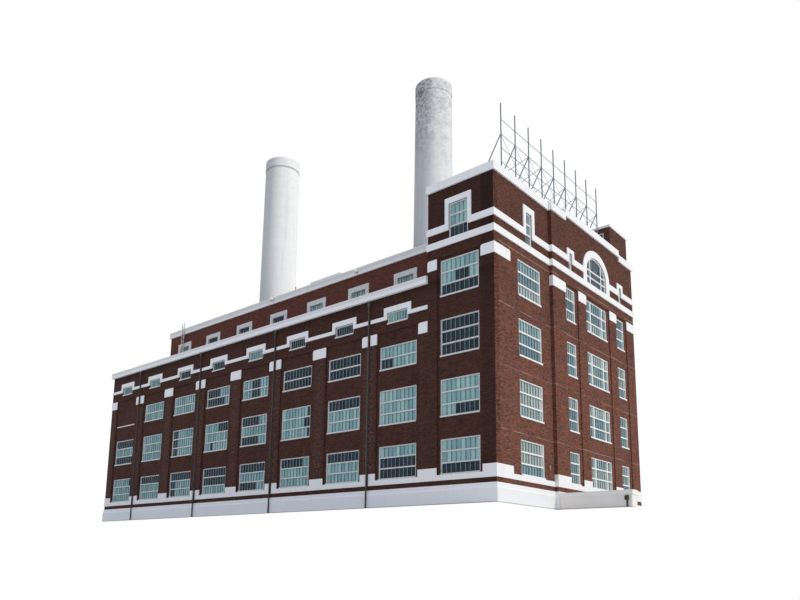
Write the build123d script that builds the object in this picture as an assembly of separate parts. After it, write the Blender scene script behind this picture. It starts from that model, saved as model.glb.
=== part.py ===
"""Brick power-station building with two stacks, drawn at half size.

500 mm here is one metre of the building. X runs along the long side, Y into the
building and Z up. While the pieces are drawn, the outer brick corner of the tall
end block stands at x = 0, y = 0; the finished pieces are moved so that the whole
building is centred over the origin, with the ground at z = 0.
"""
import os
from math import atan2, cos, degrees, hypot, radians

from build123d import *

# Plan sizes
BAY_PITCH = 3000.0
BAY_COUNT = 8
END_BAY_OFFSET = 4585.0
WEST_MARGIN = 1715.0
WING_DEPTH = 6750.0
TOWER_WIDTH = 3050.0
TOWER_DEPTH = 12560.0
CORNER_DEPTH = 4240.0
CENTRE_OUT = 140.0
WALL = 240.0
PILASTER_OUT = 45.0
WING_PILASTER_WIDTH = 820.0

# Base
PLINTH_BEVEL_Z = 530.0
PLINTH_TOP = 705.0
PLINTH_OUT = 55.0
PLINTH_BEVEL = 25.0
SILL_BAND_BOTTOM = 890.0
SILL_BAND_TOP = 1093.0
BASE_BLOCK_TOP = 1370.0
BAND_OUT = 30.0

# Storeys
FLOOR_THICK = 150.0
GROUND_FLOOR_Z = 600.0
FLOOR_LEVELS = (2850.0, 5150.0, 7300.0)
TOWER_FIFTH_FLOOR_Z = 9900.0
STOREY_1 = (1093.0, 2443.0)
STOREY_2 = (3278.0, 4744.0)
WING_STOREY_3 = (5578.0, 6587.0)
TOWER_STOREY_3 = (5628.0, 7128.0)
TOWER_STOREY_4 = (8029.0, 9528.0)
WING_WINDOW_WIDTH = 1920.0
TOWER_WINDOW_WIDTH = 1770.0
FRAME_BAR = 45.0
FRAME_DEPTH = 70.0
FRAME_SETBACK = 25.0
RAIL_HEIGHT = 52.0
SILL_HEIGHT = 60.0
SILL_OUT = 30.0
GLASS_THICK = 12.0

# Upper wing
WING_CAPITAL = (6740.0, 7190.0)
CAPITAL_OUT = 35.0
CAPITAL_ROUND = 95.0
ATTIC_SILL_Z = 7485.0
ATTIC_SILL_HEIGHT = 55.0
ATTIC_WINDOW_WIDTH = 1080.0
ATTIC_WINDOW_HEIGHT = 500.0
ATTIC_SURROUND_WIDTH = 1425.0
ATTIC_HEAD = 225.0
ATTIC_BELT = (7695.0, 7850.0)
ATTIC_OUT = 45.0
WING_EAVES_Z = 8725.0
WING_CORNICE_HEIGHT = 315.0
CORNICE_OUT = 125.0
CORNICE_SEAT = 150.0

# Set-back hall
HALL_SETBACK = 3250.0
HALL_WEST_END = 26500.0
HALL_EAVES_Z = 11950.0
HALL_CORNICE_HEIGHT = 375.0
HALL_CORNICE_OUT = 75.0
HALL_WINDOW_COUNT = 7
HALL_WINDOW_OFFSET = 6850.0
HALL_WINDOW_WIDTH = 1040.0
HALL_WINDOW = (10000.0, 11150.0)
HALL_SURROUND_WIDTH = 1385.0
HALL_HEAD = 210.0

# Tower block
CORNER_PILASTER = 565.0
WEST_PILASTER = 450.0
TOWER_WINDOW_FROM_CORNER = 1585.0
TOWER_CAPITAL = (9190.0, 9620.0)
LOWER_BELT = (10055.0, 10330.0)
UPPER_BELT = (10675.0, 10950.0)
BELT_OUT = 45.0
COPING_BOTTOM = 12500.0
COPING_HEIGHT = 330.0
COPING_OUT = 70.0
COPING_RISE = 210.0
RAISED_FROM_STEP = 1230.0
RAISED_FROM_NORTH = 1560.0
ROOF_DECK_BELOW_COPING = 350.0

TALL_SLIM_WIDTH = 890.0
TALL_SLIM_SURROUND = 1225.0
TALL_SLIM_HEIGHT = 1440.0
TALL_SLIM_HEAD = 230.0
EAST_SLIM_WIDTH = 480.0
EAST_SLIM_SURROUND = 860.0
EAST_SLIM_HEIGHT = 1370.0
EAST_SLIM_HEAD = 260.0
CENTRE_SLIM_WIDTH = 280.0
CENTRE_SLIM_SURROUND = 645.0
CENTRE_SLIM_HEIGHT = 795.0
CENTRE_SLIM_HEAD = 175.0

# End face
CORNER_WINDOW_Y = 2570.0
CORNER_BLOCK_WIDTH = 1100.0
NARROW_WINDOW_WIDTH = 868.0
CENTRE_WINDOW_WIDTH = 2100.0
CENTRE_SHIFT = 30.0
LEFT_NARROW_FROM_CENTRE = 2560.0
RIGHT_NARROW_FROM_CENTRE = 2570.0
STEP_PILASTER = 1095.0
MIDDLE_PILASTER = 745.0
MIDDLE_PILASTERS_APART = 2447.0
MIDDLE_SHIFT = 50.0
NORTH_PILASTER = 906.0
CENTRE_MULLION = 60.0
CENTRE_SIDE_LIGHT = 0.22

# Arched window
ARCH_OUTER_HALF = 1350.0
ARCH_INNER_HALF = 1010.0
ARCH_SPRING_Z = 10925.0
ARCH_OUTER_RISE = 1125.0
ARCH_INNER_RISE = 790.0
ARCH_OUT = 40.0
ARCH_FRAME_BAR = 55.0
ARCH_SETBACK = 20.0
ARCH_THIRD = 0.55

# Stacks
STACK_BEHIND_WING = 2250.0
STACK_SIDES = 48
WEST_STACK_X = 22910.0
WEST_STACK_TOP = 25450.0
WEST_STACK_RADIUS = 1165.0
WEST_STACK_FOOT_RADIUS = 1300.0
EAST_STACK_X = 9585.0
EAST_STACK_TOP = 25250.0
EAST_STACK_RADIUS = 1050.0
EAST_STACK_FOOT_RADIUS = 1225.0
STACK_WALL = 180.0
STACK_FLOOR = 600.0
STACK_LIP_OUT = 18.0
STACK_LIP_HEIGHT = 650.0
FLUE_WIDTH = 1100.0
FLUE_HEIGHT = 2400.0
STACK_FIT = 0.3

# Roof houses
STAIR_HOUSE_X = (-2300.0, 0.0)
STAIR_HOUSE_DEPTH = 1970.0
STAIR_HOUSE_FROM_NORTH = 100.0
STAIR_HOUSE_HEIGHT = 2030.0
LIFT_HOUSE_X = (-14900.0, -12650.0)
LIFT_HOUSE_DEPTH = 1400.0
LIFT_HOUSE_FROM_NORTH = 650.0
LIFT_HOUSE_HEIGHT = 1090.0
ROOF_HOUSE_WALL = 130.0
ROOF_HOUSE_CAP = 110.0
ROOF_HOUSE_CAP_OUT = 40.0
STAIR_WINDOW_X = (-700.0, -300.0)
STAIR_WINDOW_HEIGHT = 785.0
STAIR_WINDOW_HEAD = 245.0
STAIR_FRAME_OUT = 10.0

# Roof sign frame
SIGN_X = -400.0
SIGN_FIRST_Y = 1275.0
SIGN_PITCH = 1090.0
SIGN_POSTS = 9
SIGN_HEIGHT = 3950.0
SIGN_BAR = 40.0
SIGN_RAIL_HEIGHTS = (800.0, 1400.0, 2000.0, 2600.0, 3250.0, 3925.0)
SIGN_STAY_RUN = 1500.0
SIGN_STAY_BAR = 36.0
SIGN_STAY_HEIGHT = 2625.0

# Rainwater pipes
PIPE_RADIUS = 32.0
PIPE_SIDES = 8
PIPE_OFF_WALL = 12.0
PIPE_TOP = 8480.0
PIPE_SLOT = 60.0
PIPE_KINK_ABOVE = 60.0
HOPPER_SIZE = 120.0
HOPPER_HEIGHT = 150.0

# Loading platform
PLATFORM_REACH = 3045.0
PLATFORM_DEPTH = 450.0
PLATFORM_TOP = 635.0
PLATFORM_EDGE = 185.0
PLATFORM_LIP = 30.0
PLATFORM_BEVEL = 28.0
PLATFORM_BEVEL_HEIGHT = 165.0
PLATFORM_DRAIN_FROM_END = 180.0
PLATFORM_DRAIN_HEAD = (260.0, 420.0)

# Ladder at the west end of the hall
LADDER_FROM_WEST_END = 1500.0
LADDER_OFF_WALL = 120.0
LADDER_HALF_WIDTH = 110.0
LADDER_RAIL = 18.0
LADDER_ABOVE_COPING = 350.0
RUNG_HALF = 12.0
RUNG_FIRST = 200.0
RUNG_PITCH = 300.0
RUNG_CLEAR = 60.0

WING_EAST = -TOWER_WIDTH
WING_WEST = -(END_BAY_OFFSET + (BAY_COUNT - 1) * BAY_PITCH + WEST_MARGIN)
INNER_Y = PILASTER_OUT + WALL
WING_NORTH_INNER = WING_DEPTH - INNER_Y
HALL_WEST = -HALL_WEST_END
BAY_CENTRES = [-(END_BAY_OFFSET + n * BAY_PITCH) for n in range(BAY_COUNT)]
WING_PIER_CENTRES = [x - BAY_PITCH / 2 for x in BAY_CENTRES[:-1]]
PIPE_CENTRES = WING_PIER_CENTRES[0::2]
EAST_FACE = CENTRE_OUT
EAST_INNER = -INNER_Y
CENTRE_INNER = CENTRE_OUT - INNER_Y

# Places behind the wing, and heights that follow from those of the pieces below
STACK_Y = WING_DEPTH + STACK_BEHIND_WING
ATTIC_WINDOW_TOP = ATTIC_SILL_Z + ATTIC_WINDOW_HEIGHT
ATTIC_SURROUND_TOP = ATTIC_WINDOW_TOP + ATTIC_HEAD
WING_CORNICE_TOP = WING_EAVES_Z + WING_CORNICE_HEIGHT
HALL_CORNICE_TOP = HALL_EAVES_Z + HALL_CORNICE_HEIGHT
HALL_SURROUND_TOP = HALL_WINDOW[1] + HALL_HEAD
TALL_SLIM_TOP = LOWER_BELT[1] + TALL_SLIM_HEIGHT
TALL_SLIM_SURROUND_TOP = TALL_SLIM_TOP + TALL_SLIM_HEAD
EAST_SLIM_TOP = LOWER_BELT[1] + EAST_SLIM_HEIGHT
EAST_SLIM_SURROUND_TOP = EAST_SLIM_TOP + EAST_SLIM_HEAD
CENTRE_SLIM_TOP = LOWER_BELT[1] + CENTRE_SLIM_HEIGHT
CENTRE_SLIM_SURROUND_TOP = CENTRE_SLIM_TOP + CENTRE_SLIM_HEAD
COPING_TOP = COPING_BOTTOM + COPING_HEIGHT
ROOF_DECK_TOP = COPING_BOTTOM - ROOF_DECK_BELOW_COPING
STAIR_HOUSE_TOP = ROOF_DECK_TOP + STAIR_HOUSE_HEIGHT
STAIR_WINDOW_TOP = STAIR_HOUSE_TOP - STAIR_WINDOW_HEAD
STAIR_WINDOW_Z = (STAIR_WINDOW_TOP - STAIR_WINDOW_HEIGHT, STAIR_WINDOW_TOP)
LIFT_HOUSE_NORTH = WING_DEPTH - LIFT_HOUSE_FROM_NORTH
LIFT_HOUSE_Y = (LIFT_HOUSE_NORTH - LIFT_HOUSE_DEPTH, LIFT_HOUSE_NORTH)
LIFT_HOUSE_TOP = HALL_EAVES_Z + FLOOR_THICK + LIFT_HOUSE_HEIGHT
SIGN_TOP = ROOF_DECK_TOP + SIGN_HEIGHT
SIGN_RAILS = [ROOF_DECK_TOP + height for height in SIGN_RAIL_HEIGHTS]
SIGN_STAY_TOP = ROOF_DECK_TOP + SIGN_STAY_HEIGHT

# The forward part of the end face is set out from its middle
CENTRE_Y = (CORNER_DEPTH + TOWER_DEPTH) / 2 + CENTRE_SHIFT
LEFT_NARROW_Y = CENTRE_Y - LEFT_NARROW_FROM_CENTRE
RIGHT_NARROW_Y = CENTRE_Y + RIGHT_NARROW_FROM_CENTRE
MIDDLE_SOUTH = CENTRE_Y + MIDDLE_SHIFT - MIDDLE_PILASTERS_APART / 2
MIDDLE_NORTH = MIDDLE_SOUTH + MIDDLE_PILASTERS_APART
CENTRE_PILASTERS = (
    (CORNER_DEPTH, CORNER_DEPTH + STEP_PILASTER),
    (MIDDLE_SOUTH - MIDDLE_PILASTER, MIDDLE_SOUTH),
    (MIDDLE_NORTH, MIDDLE_NORTH + MIDDLE_PILASTER),
    (TOWER_DEPTH - NORTH_PILASTER, TOWER_DEPTH),
)
RAISED_FROM = CORNER_DEPTH + RAISED_FROM_STEP
RAISED_TO = TOWER_DEPTH - RAISED_FROM_NORTH
STAIR_HOUSE_NORTH = TOWER_DEPTH - STAIR_HOUSE_FROM_NORTH
STAIR_HOUSE_Y = (STAIR_HOUSE_NORTH - STAIR_HOUSE_DEPTH, STAIR_HOUSE_NORTH)

# The whole building is centred over the origin.
WEST_REACH = WING_WEST - CORNICE_OUT
EAST_REACH = PLATFORM_REACH + PLATFORM_LIP
SOUTH_REACH = -(2 * PIPE_RADIUS + PLINTH_OUT + PIPE_OFF_WALL)
NORTH_REACH = TOWER_DEPTH + COPING_OUT
MOVE = Pos(-(WEST_REACH + EAST_REACH) / 2, -(SOUTH_REACH + NORTH_REACH) / 2, 0)


def block(x, y, z):
    """A plain block between pairs of limits."""
    low, high = (min(x), min(y), min(z)), (max(x), max(y), max(z))
    size = [b - a for a, b in zip(low, high)]
    middle = [(a + b) / 2 for a, b in zip(low, high)]
    return Pos(*middle) * Box(*size)


class Face:
    """One wall plane. along runs to the right as seen from outside, and out is outward."""

    def __init__(self, name, place):
        self.name = name
        self.place = place

    def slab(self, along, out, z):
        if self.name == "south":
            return block(along, (self.place - out[0], self.place - out[1]), z)
        if self.name == "north":
            return block(along, (self.place + out[0], self.place + out[1]), z)
        if self.name == "east":
            return block((self.place + out[0], self.place + out[1]), along, z)
        return block((self.place - out[0], self.place - out[1]), along, z)


SOUTH = Face("south", 0)
WING_NORTH = Face("north", WING_DEPTH)
WING_WEST_FACE = Face("west", WING_WEST)
HALL_SOUTH = Face("south", HALL_SETBACK)
HALL_WEST_FACE = Face("west", HALL_WEST)
EAST_CORNER = Face("east", 0)
EAST_CENTRE = Face("east", EAST_FACE)
TOWER_NORTH = Face("north", TOWER_DEPTH)
TOWER_WEST = Face("west", WING_EAST)


def wall(face, along, z, piers, recess_top, windows):
    """A brick wall with piers standing out of recessed bays and its windows cut through."""
    depth = WALL + PILASTER_OUT
    body = face.slab(along, (-depth, 0), z)
    edges = sorted(piers)
    for left, right in zip(edges[:-1], edges[1:]):
        body -= face.slab((left[1], right[0]), (-PILASTER_OUT, 1), (SILL_BAND_TOP, recess_top))
    for opening, heights in windows:
        body -= face.slab(opening, (-depth - 1, 1), heights)
    return body


def window(face, along, z, recess, rows, sill=True, mullions=()):
    """A white window frame with its rails and sill, all one piece."""
    front = recess + FRAME_SETBACK
    out = (-front - FRAME_DEPTH, -front)
    frame = face.slab(along, out, z)
    foot = z[0] + FRAME_BAR
    head = z[1] - FRAME_BAR
    pane = (head - foot - (rows - 1) * RAIL_HEIGHT) / rows
    bars = [along[0] + FRAME_BAR / 2, *mullions, along[1] - FRAME_BAR / 2]
    halves = [FRAME_BAR / 2, *[CENTRE_MULLION / 2] * len(mullions), FRAME_BAR / 2]
    for row in range(rows):
        low = foot + row * (pane + RAIL_HEIGHT)
        for k in range(len(bars) - 1):
            span = (bars[k] + halves[k], bars[k + 1] - halves[k + 1])
            frame -= face.slab(span, (out[0] - 1, out[1] + 1), (low, low + pane))
    if sill:
        stone = (out[1] - 1, SILL_OUT - recess)
        frame += face.slab(along, stone, (z[0], z[0] + SILL_HEIGHT))
    return frame


def glass(face, along, z, recess):
    """One sheet of glass behind a window frame."""
    back = recess + FRAME_SETBACK + FRAME_DEPTH
    return face.slab(along, (-back - GLASS_THICK, -back), z)


def surround(face, centre, width, opening, top, opening_top, belt, out):
    """A flat white surround: a head and two jambs that stop at the foot of the belt."""
    piece = face.slab((centre - width / 2, centre + width / 2), (0, out), (belt[0], top))
    cut = (centre - opening / 2, centre + opening / 2)
    piece -= face.slab(cut, (-1, out + 1), (belt[0] - 1, opening_top))
    return piece


def belt_between(face, stretches, z, out):
    """Lengths of flat band on a wall."""
    return [face.slab(stretch, (0, out), z) for stretch in stretches]


def rounded_block(face, along, z, round_left=True, round_right=True, out=CAPITAL_OUT):
    """A white cap on a pier, its upper corners rounded."""
    piece = face.slab(along, (0, out), z)
    axis = Axis.Y if face.name in ("south", "north") else Axis.X
    across = Axis.X if axis == Axis.Y else Axis.Y
    edges = piece.edges().filter_by(axis).group_by(Axis.Z)[-1].sort_by(across)
    chosen = [edges[0]] * round_left + [edges[-1]] * round_right
    radius = min(CAPITAL_ROUND, (along[1] - along[0]) * 0.45)
    return fillet(chosen, radius) if chosen else piece


def south_windows():
    """Openings of the wing's long side: centre, heights, rows."""
    out = []
    for n, x in enumerate(BAY_CENTRES):
        out.append((x, STOREY_1, 3))
        out.append((x, STOREY_2, 3))
        if n < BAY_COUNT - 1:
            out.append((x, WING_STOREY_3, 2))
    return out


def attic_openings():
    return [(x - ATTIC_WINDOW_WIDTH / 2, x + ATTIC_WINDOW_WIDTH / 2) for x in BAY_CENTRES]


def wing_piers():
    """Piers along the wing, as pairs of limits."""
    half = WING_PILASTER_WIDTH / 2
    west_edge = WING_PIER_CENTRES[-1] - BAY_PITCH + half
    east_edge = WING_PIER_CENTRES[0] + BAY_PITCH - half
    piers = [(x - half, x + half) for x in WING_PIER_CENTRES]
    return [(WING_WEST, west_edge), *piers, (east_edge, WING_EAST)]


def wing_long_wall(face):
    """The south or north wall of the wing with all its openings."""
    spans = []
    for x, heights, _ in south_windows():
        spans.append(((x - WING_WINDOW_WIDTH / 2, x + WING_WINDOW_WIDTH / 2), heights))
    for opening in attic_openings():
        spans.append((opening, (ATTIC_SILL_Z, ATTIC_WINDOW_TOP)))
    limits = (WING_WEST, WING_EAST)
    return wall(face, limits, (PLINTH_TOP, WING_EAVES_Z), wing_piers(), WING_CAPITAL[1], spans)


def wing_west_wall():
    inside = (INNER_Y, WING_NORTH_INNER)
    body = WING_WEST_FACE.slab(inside, (-INNER_Y, 0), (PLINTH_TOP, WING_EAVES_Z))
    return body


def wing_frames(face):
    """Frames and panes of one long side of the wing."""
    frames, panes = [], []
    for x, heights, rows in south_windows():
        span = (x - WING_WINDOW_WIDTH / 2, x + WING_WINDOW_WIDTH / 2)
        shown_rows = rows if face is SOUTH else 1
        frames.append(window(face, span, heights, PILASTER_OUT, shown_rows))
        panes.append(glass(face, span, heights, PILASTER_OUT))
    frames.append(bricked_up_sill(face))
    for span in attic_openings():
        heights = (ATTIC_SILL_Z, ATTIC_WINDOW_TOP)
        frame = window(face, span, heights, 0, 1, sill=False)
        sill = (ATTIC_SILL_Z, ATTIC_SILL_Z + ATTIC_SILL_HEIGHT)
        frame += face.slab(span, (-FRAME_SETBACK - 1, ATTIC_OUT), sill)
        frames.append(frame)
        panes.append(glass(face, span, heights, 0))
    return frames, panes


def bricked_up_sill(face):
    """The sill that is left of the bricked-up window at the wing's west end."""
    x, z = BAY_CENTRES[-1], WING_STOREY_3[0]
    span = (x - WING_WINDOW_WIDTH / 2, x + WING_WINDOW_WIDTH / 2)
    return face.slab(span, (-PILASTER_OUT, SILL_OUT - PILASTER_OUT), (z, z + SILL_HEIGHT))


def attic_band():
    """The thin white belt of the wing's top storey, stepping up over each small window."""
    pieces = None
    half = ATTIC_SURROUND_WIDTH / 2
    for x in BAY_CENTRES:
        one = surround(
            SOUTH,
            x,
            ATTIC_SURROUND_WIDTH,
            ATTIC_WINDOW_WIDTH,
            ATTIC_SURROUND_TOP,
            ATTIC_WINDOW_TOP,
            ATTIC_BELT,
            ATTIC_OUT,
        )
        pieces = one if pieces is None else pieces + one
    stops = [WING_EAST]
    for x in BAY_CENTRES:
        stops += [x + half, x - half]
    stops.append(WING_WEST)
    pairs = [(stops[k + 1], stops[k]) for k in range(0, len(stops), 2)]
    for piece in belt_between(SOUTH, pairs, ATTIC_BELT, ATTIC_OUT):
        pieces += piece
    for x in PIPE_CENTRES:
        slot = (x - PIPE_SLOT, x + PIPE_SLOT)
        pieces -= SOUTH.slab(slot, (-1, ATTIC_OUT + 1), ATTIC_BELT)
    return pieces


def capital_blocks():
    """White caps on all piers of both parts."""
    blocks = []
    for left, right in wing_piers():
        first = left == WING_WEST
        middle = (left + right) / 2
        if not first and middle in PIPE_CENTRES:
            cut = (left, middle - PIPE_SLOT)
            blocks.append(rounded_block(SOUTH, cut, WING_CAPITAL, True, False))
            cut = (middle + PIPE_SLOT, right)
            blocks.append(rounded_block(SOUTH, cut, WING_CAPITAL, False, False))
        else:
            blocks.append(rounded_block(SOUTH, (left, right), WING_CAPITAL, not first, False))
    west = (WING_EAST, WING_EAST + WEST_PILASTER)
    blocks.append(rounded_block(SOUTH, west, TOWER_CAPITAL, True, False))
    corner = rounded_block(SOUTH, (-CORNER_PILASTER, CAPITAL_OUT), TOWER_CAPITAL, True, False)
    side = rounded_block(
        EAST_CORNER, (-CAPITAL_OUT, CORNER_BLOCK_WIDTH), TOWER_CAPITAL, False, True
    )
    blocks.append(corner + side)
    for k, (left, right) in enumerate(CENTRE_PILASTERS):
        start = left - CAPITAL_OUT if k == 0 else left
        cap = rounded_block(EAST_CENTRE, (start, right), TOWER_CAPITAL, False, k < 3)
        if k == 0:
            return_depth = (-CENTRE_OUT, CAPITAL_OUT)
            cap += EAST_CENTRE.slab((left - CAPITAL_OUT, left), return_depth, TOWER_CAPITAL)
        blocks.append(cap)
    return blocks


def outline(x_west, reach, out):
    """Plan outline of the tower block, offset outwards by out."""
    return [
        (x_west, -out),
        (out, -out),
        (out, CORNER_DEPTH - out),
        (EAST_FACE + out, CORNER_DEPTH - out),
        (EAST_FACE + out, reach + out),
        (x_west, reach + out),
    ]


def prism(points, z):
    """An upright solid over a plan outline."""
    face = make_face(Polyline(*points, close=True))
    return Pos(0, 0, z[0]) * extrude(face, z[1] - z[0])


def tower_ring(out, z, inset):
    """A closed ring round the tower block, out past the brick and inset into it."""
    ring = prism(outline(WING_EAST - out, TOWER_DEPTH, out), z)
    return ring - prism(outline(WING_EAST + inset, TOWER_DEPTH, -inset), (z[0] - 1, z[1] + 1))


def tower_plinth():
    """The white base course under the tower block, its upper part set back on a bevel."""
    wide = prism(outline(WING_EAST, TOWER_DEPTH, PLINTH_OUT), (0, PLINTH_BEVEL_Z))
    top = faces_at(wide, PLINTH_BEVEL_Z)
    wide = chamfer(outer_edges(top), PLINTH_BEVEL)
    upper_out = PLINTH_OUT - PLINTH_BEVEL
    wide += prism(outline(WING_EAST, TOWER_DEPTH, upper_out), (PLINTH_BEVEL_Z, PLINTH_TOP))
    hollow = (-1, PLINTH_TOP + 1)
    wide -= prism(outline(WING_EAST + INNER_Y, TOWER_DEPTH, -INNER_Y), hollow)
    return wide


def faces_at(solid, height):
    return solid.faces().filter_by(Axis.Z).sort_by(Axis.Z)[-1]


def outer_edges(face):
    """Edges of a top face, except those on the tower's west side."""
    return [e for e in face.edges() if e.center().X > WING_EAST + 1]


def wing_plinth():
    """The white base course of the wing on its three free sides."""
    piece = block((WING_WEST - PLINTH_OUT, WING_EAST), (-PLINTH_OUT, WING_DEPTH + PLINTH_OUT),
                  (0, PLINTH_BEVEL_Z))
    top = piece.faces().sort_by(Axis.Z)[-1]
    edges = [e for e in top.edges() if e.center().X < WING_EAST - 1]
    piece = chamfer(edges, PLINTH_BEVEL)
    upper = PLINTH_OUT - PLINTH_BEVEL
    piece += block((WING_WEST - upper, WING_EAST), (-upper, WING_DEPTH + upper),
                   (PLINTH_BEVEL_Z, PLINTH_TOP))
    piece -= block((WING_WEST + INNER_Y, WING_EAST + 1), (INNER_Y, WING_NORTH_INNER),
                   (-1, PLINTH_TOP + 1))
    return piece


def sill_band():
    """The white band under the lowest windows, with a raised block on each pier."""
    pieces = []
    wing = SOUTH.slab((WING_WEST, WING_EAST), (0, BAND_OUT), (SILL_BAND_BOTTOM, SILL_BAND_TOP))
    for left, right in wing_piers():
        wing += SOUTH.slab((left, right), (0, BAND_OUT), (SILL_BAND_TOP, BASE_BLOCK_TOP))
    for x in PIPE_CENTRES:
        slot = (x - PIPE_SLOT, x + PIPE_SLOT)
        wing -= SOUTH.slab(slot, (-1, BAND_OUT + 1), (SILL_BAND_BOTTOM, BASE_BLOCK_TOP))
    pieces += wing.solids()
    band_z = (SILL_BAND_BOTTOM, SILL_BAND_TOP)
    block_z = (SILL_BAND_TOP, BASE_BLOCK_TOP)
    tower = SOUTH.slab((WING_EAST + 1, BAND_OUT), (0, BAND_OUT), band_z)
    tower += EAST_CORNER.slab((0, CORNER_DEPTH - BAND_OUT), (0, BAND_OUT), band_z)
    tower += EAST_CENTRE.slab((CORNER_DEPTH - BAND_OUT, CORNER_DEPTH), (-CENTRE_OUT, BAND_OUT),
                              band_z)
    tower += EAST_CENTRE.slab((CORNER_DEPTH, TOWER_DEPTH), (0, BAND_OUT), band_z)
    tower += SOUTH.slab((WING_EAST + 1, WING_EAST + WEST_PILASTER), (0, BAND_OUT), block_z)
    tower += SOUTH.slab((-CORNER_PILASTER, BAND_OUT), (0, BAND_OUT), block_z)
    tower += EAST_CORNER.slab((0, CORNER_BLOCK_WIDTH), (0, BAND_OUT), block_z)
    for k, (left, right) in enumerate(CENTRE_PILASTERS):
        if k == 0:
            tower += EAST_CENTRE.slab((left - BAND_OUT, left), (-CENTRE_OUT, BAND_OUT), block_z)
        tower += EAST_CENTRE.slab((left, right), (0, BAND_OUT), block_z)
    pieces.append(tower)
    return pieces


def tower_long_openings():
    x = -TOWER_WINDOW_FROM_CORNER
    span = (x - TOWER_WINDOW_WIDTH / 2, x + TOWER_WINDOW_WIDTH / 2)
    return [(span, s) for s in (STOREY_1, STOREY_2, TOWER_STOREY_3, TOWER_STOREY_4)]


def slim_opening(centre, width, top):
    return ((centre - width / 2, centre + width / 2), (LOWER_BELT[1], top))


def tower_long_wall(face, east_end):
    """The tower block's south or north wall."""
    slim = slim_opening(-TOWER_WINDOW_FROM_CORNER, TALL_SLIM_WIDTH, TALL_SLIM_TOP)
    piers = [(WING_EAST, WING_EAST + WEST_PILASTER), (-CORNER_PILASTER, east_end)]
    openings = [*tower_long_openings(), slim]
    limits = (WING_EAST, east_end)
    return wall(face, limits, (PLINTH_TOP, COPING_BOTTOM), piers, TOWER_CAPITAL[1], openings)


def corner_openings():
    span = (CORNER_WINDOW_Y - TOWER_WINDOW_WIDTH / 2, CORNER_WINDOW_Y + TOWER_WINDOW_WIDTH / 2)
    return [(span, s) for s in (STOREY_1, STOREY_2, TOWER_STOREY_3, TOWER_STOREY_4)]


def east_corner_wall():
    """The set-back left part of the end face."""
    slim = slim_opening(CORNER_WINDOW_Y, EAST_SLIM_WIDTH, EAST_SLIM_TOP)
    openings = [*corner_openings(), slim]
    limits = (INNER_Y, CORNER_DEPTH)
    return wall(EAST_CORNER, limits, (PLINTH_TOP, COPING_BOTTOM), [], COPING_BOTTOM, openings)


def centre_columns():
    """Window columns of the end face's centre: middle, width, mullions."""
    side = CENTRE_WINDOW_WIDTH * (0.5 - CENTRE_SIDE_LIGHT)
    return [
        (LEFT_NARROW_Y, NARROW_WINDOW_WIDTH, ()),
        (CENTRE_Y, CENTRE_WINDOW_WIDTH, (CENTRE_Y - side, CENTRE_Y + side)),
        (RIGHT_NARROW_Y, NARROW_WINDOW_WIDTH, ()),
    ]


def arch_profile(half, rise, foot):
    """An arched outline in the plane of the end face: two jambs under a half ellipse."""
    left, right = CENTRE_Y - half, CENTRE_Y + half
    jamb_left = Line((left, foot), (left, ARCH_SPRING_Z))
    crown = EllipticalCenterArc((CENTRE_Y, ARCH_SPRING_Z), half, rise, start_angle=0, arc_size=180)
    jamb_right = Line((right, ARCH_SPRING_Z), (right, foot))
    base = Line((right, foot), (left, foot))
    return make_face(Curve() + [jamb_left, crown, jamb_right, base])


def arch_solid(half, rise, foot, out):
    """The arched outline made solid between two distances from the end face."""
    plane = Plane(origin=(EAST_FACE + out[0], 0, 0), x_dir=(0, 1, 0), z_dir=(1, 0, 0))
    return extrude(plane * arch_profile(half, rise, foot), out[1] - out[0])


def east_centre_wall():
    """The part of the end face that stands forward, with its four piers and the arch."""
    openings = []
    for centre, width, _ in centre_columns():
        span = (centre - width / 2, centre + width / 2)
        for storey in (STOREY_1, STOREY_2, TOWER_STOREY_3, TOWER_STOREY_4):
            openings.append((span, storey))
    for centre in (LEFT_NARROW_Y, RIGHT_NARROW_Y):
        openings.append(slim_opening(centre, CENTRE_SLIM_WIDTH, CENTRE_SLIM_TOP))
    limits = (CORNER_DEPTH, TOWER_DEPTH - INNER_Y)
    body = wall(EAST_CENTRE, limits, (PLINTH_TOP, COPING_BOTTOM), CENTRE_PILASTERS,
                TOWER_CAPITAL[1], openings)
    body += block((EAST_INNER, CENTRE_INNER), (CORNER_DEPTH, CORNER_DEPTH + INNER_Y),
                  (PLINTH_TOP, COPING_BOTTOM))
    raised = (RAISED_FROM, RAISED_TO)
    body += EAST_CENTRE.slab(raised, (-INNER_Y, 0), (COPING_BOTTOM, COPING_BOTTOM + COPING_RISE))
    body -= arch_solid(ARCH_INNER_HALF, ARCH_INNER_RISE, LOWER_BELT[1], (-INNER_Y - 1, 1))
    return body


def arch_surround():
    """The broad white arch round the top window, standing on the lower belt."""
    outer = arch_solid(ARCH_OUTER_HALF, ARCH_OUTER_RISE, LOWER_BELT[1], (0, ARCH_OUT))
    return outer - arch_solid(ARCH_INNER_HALF, ARCH_INNER_RISE, LOWER_BELT[1] - 1,
                              (-1, ARCH_OUT + 1))


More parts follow.
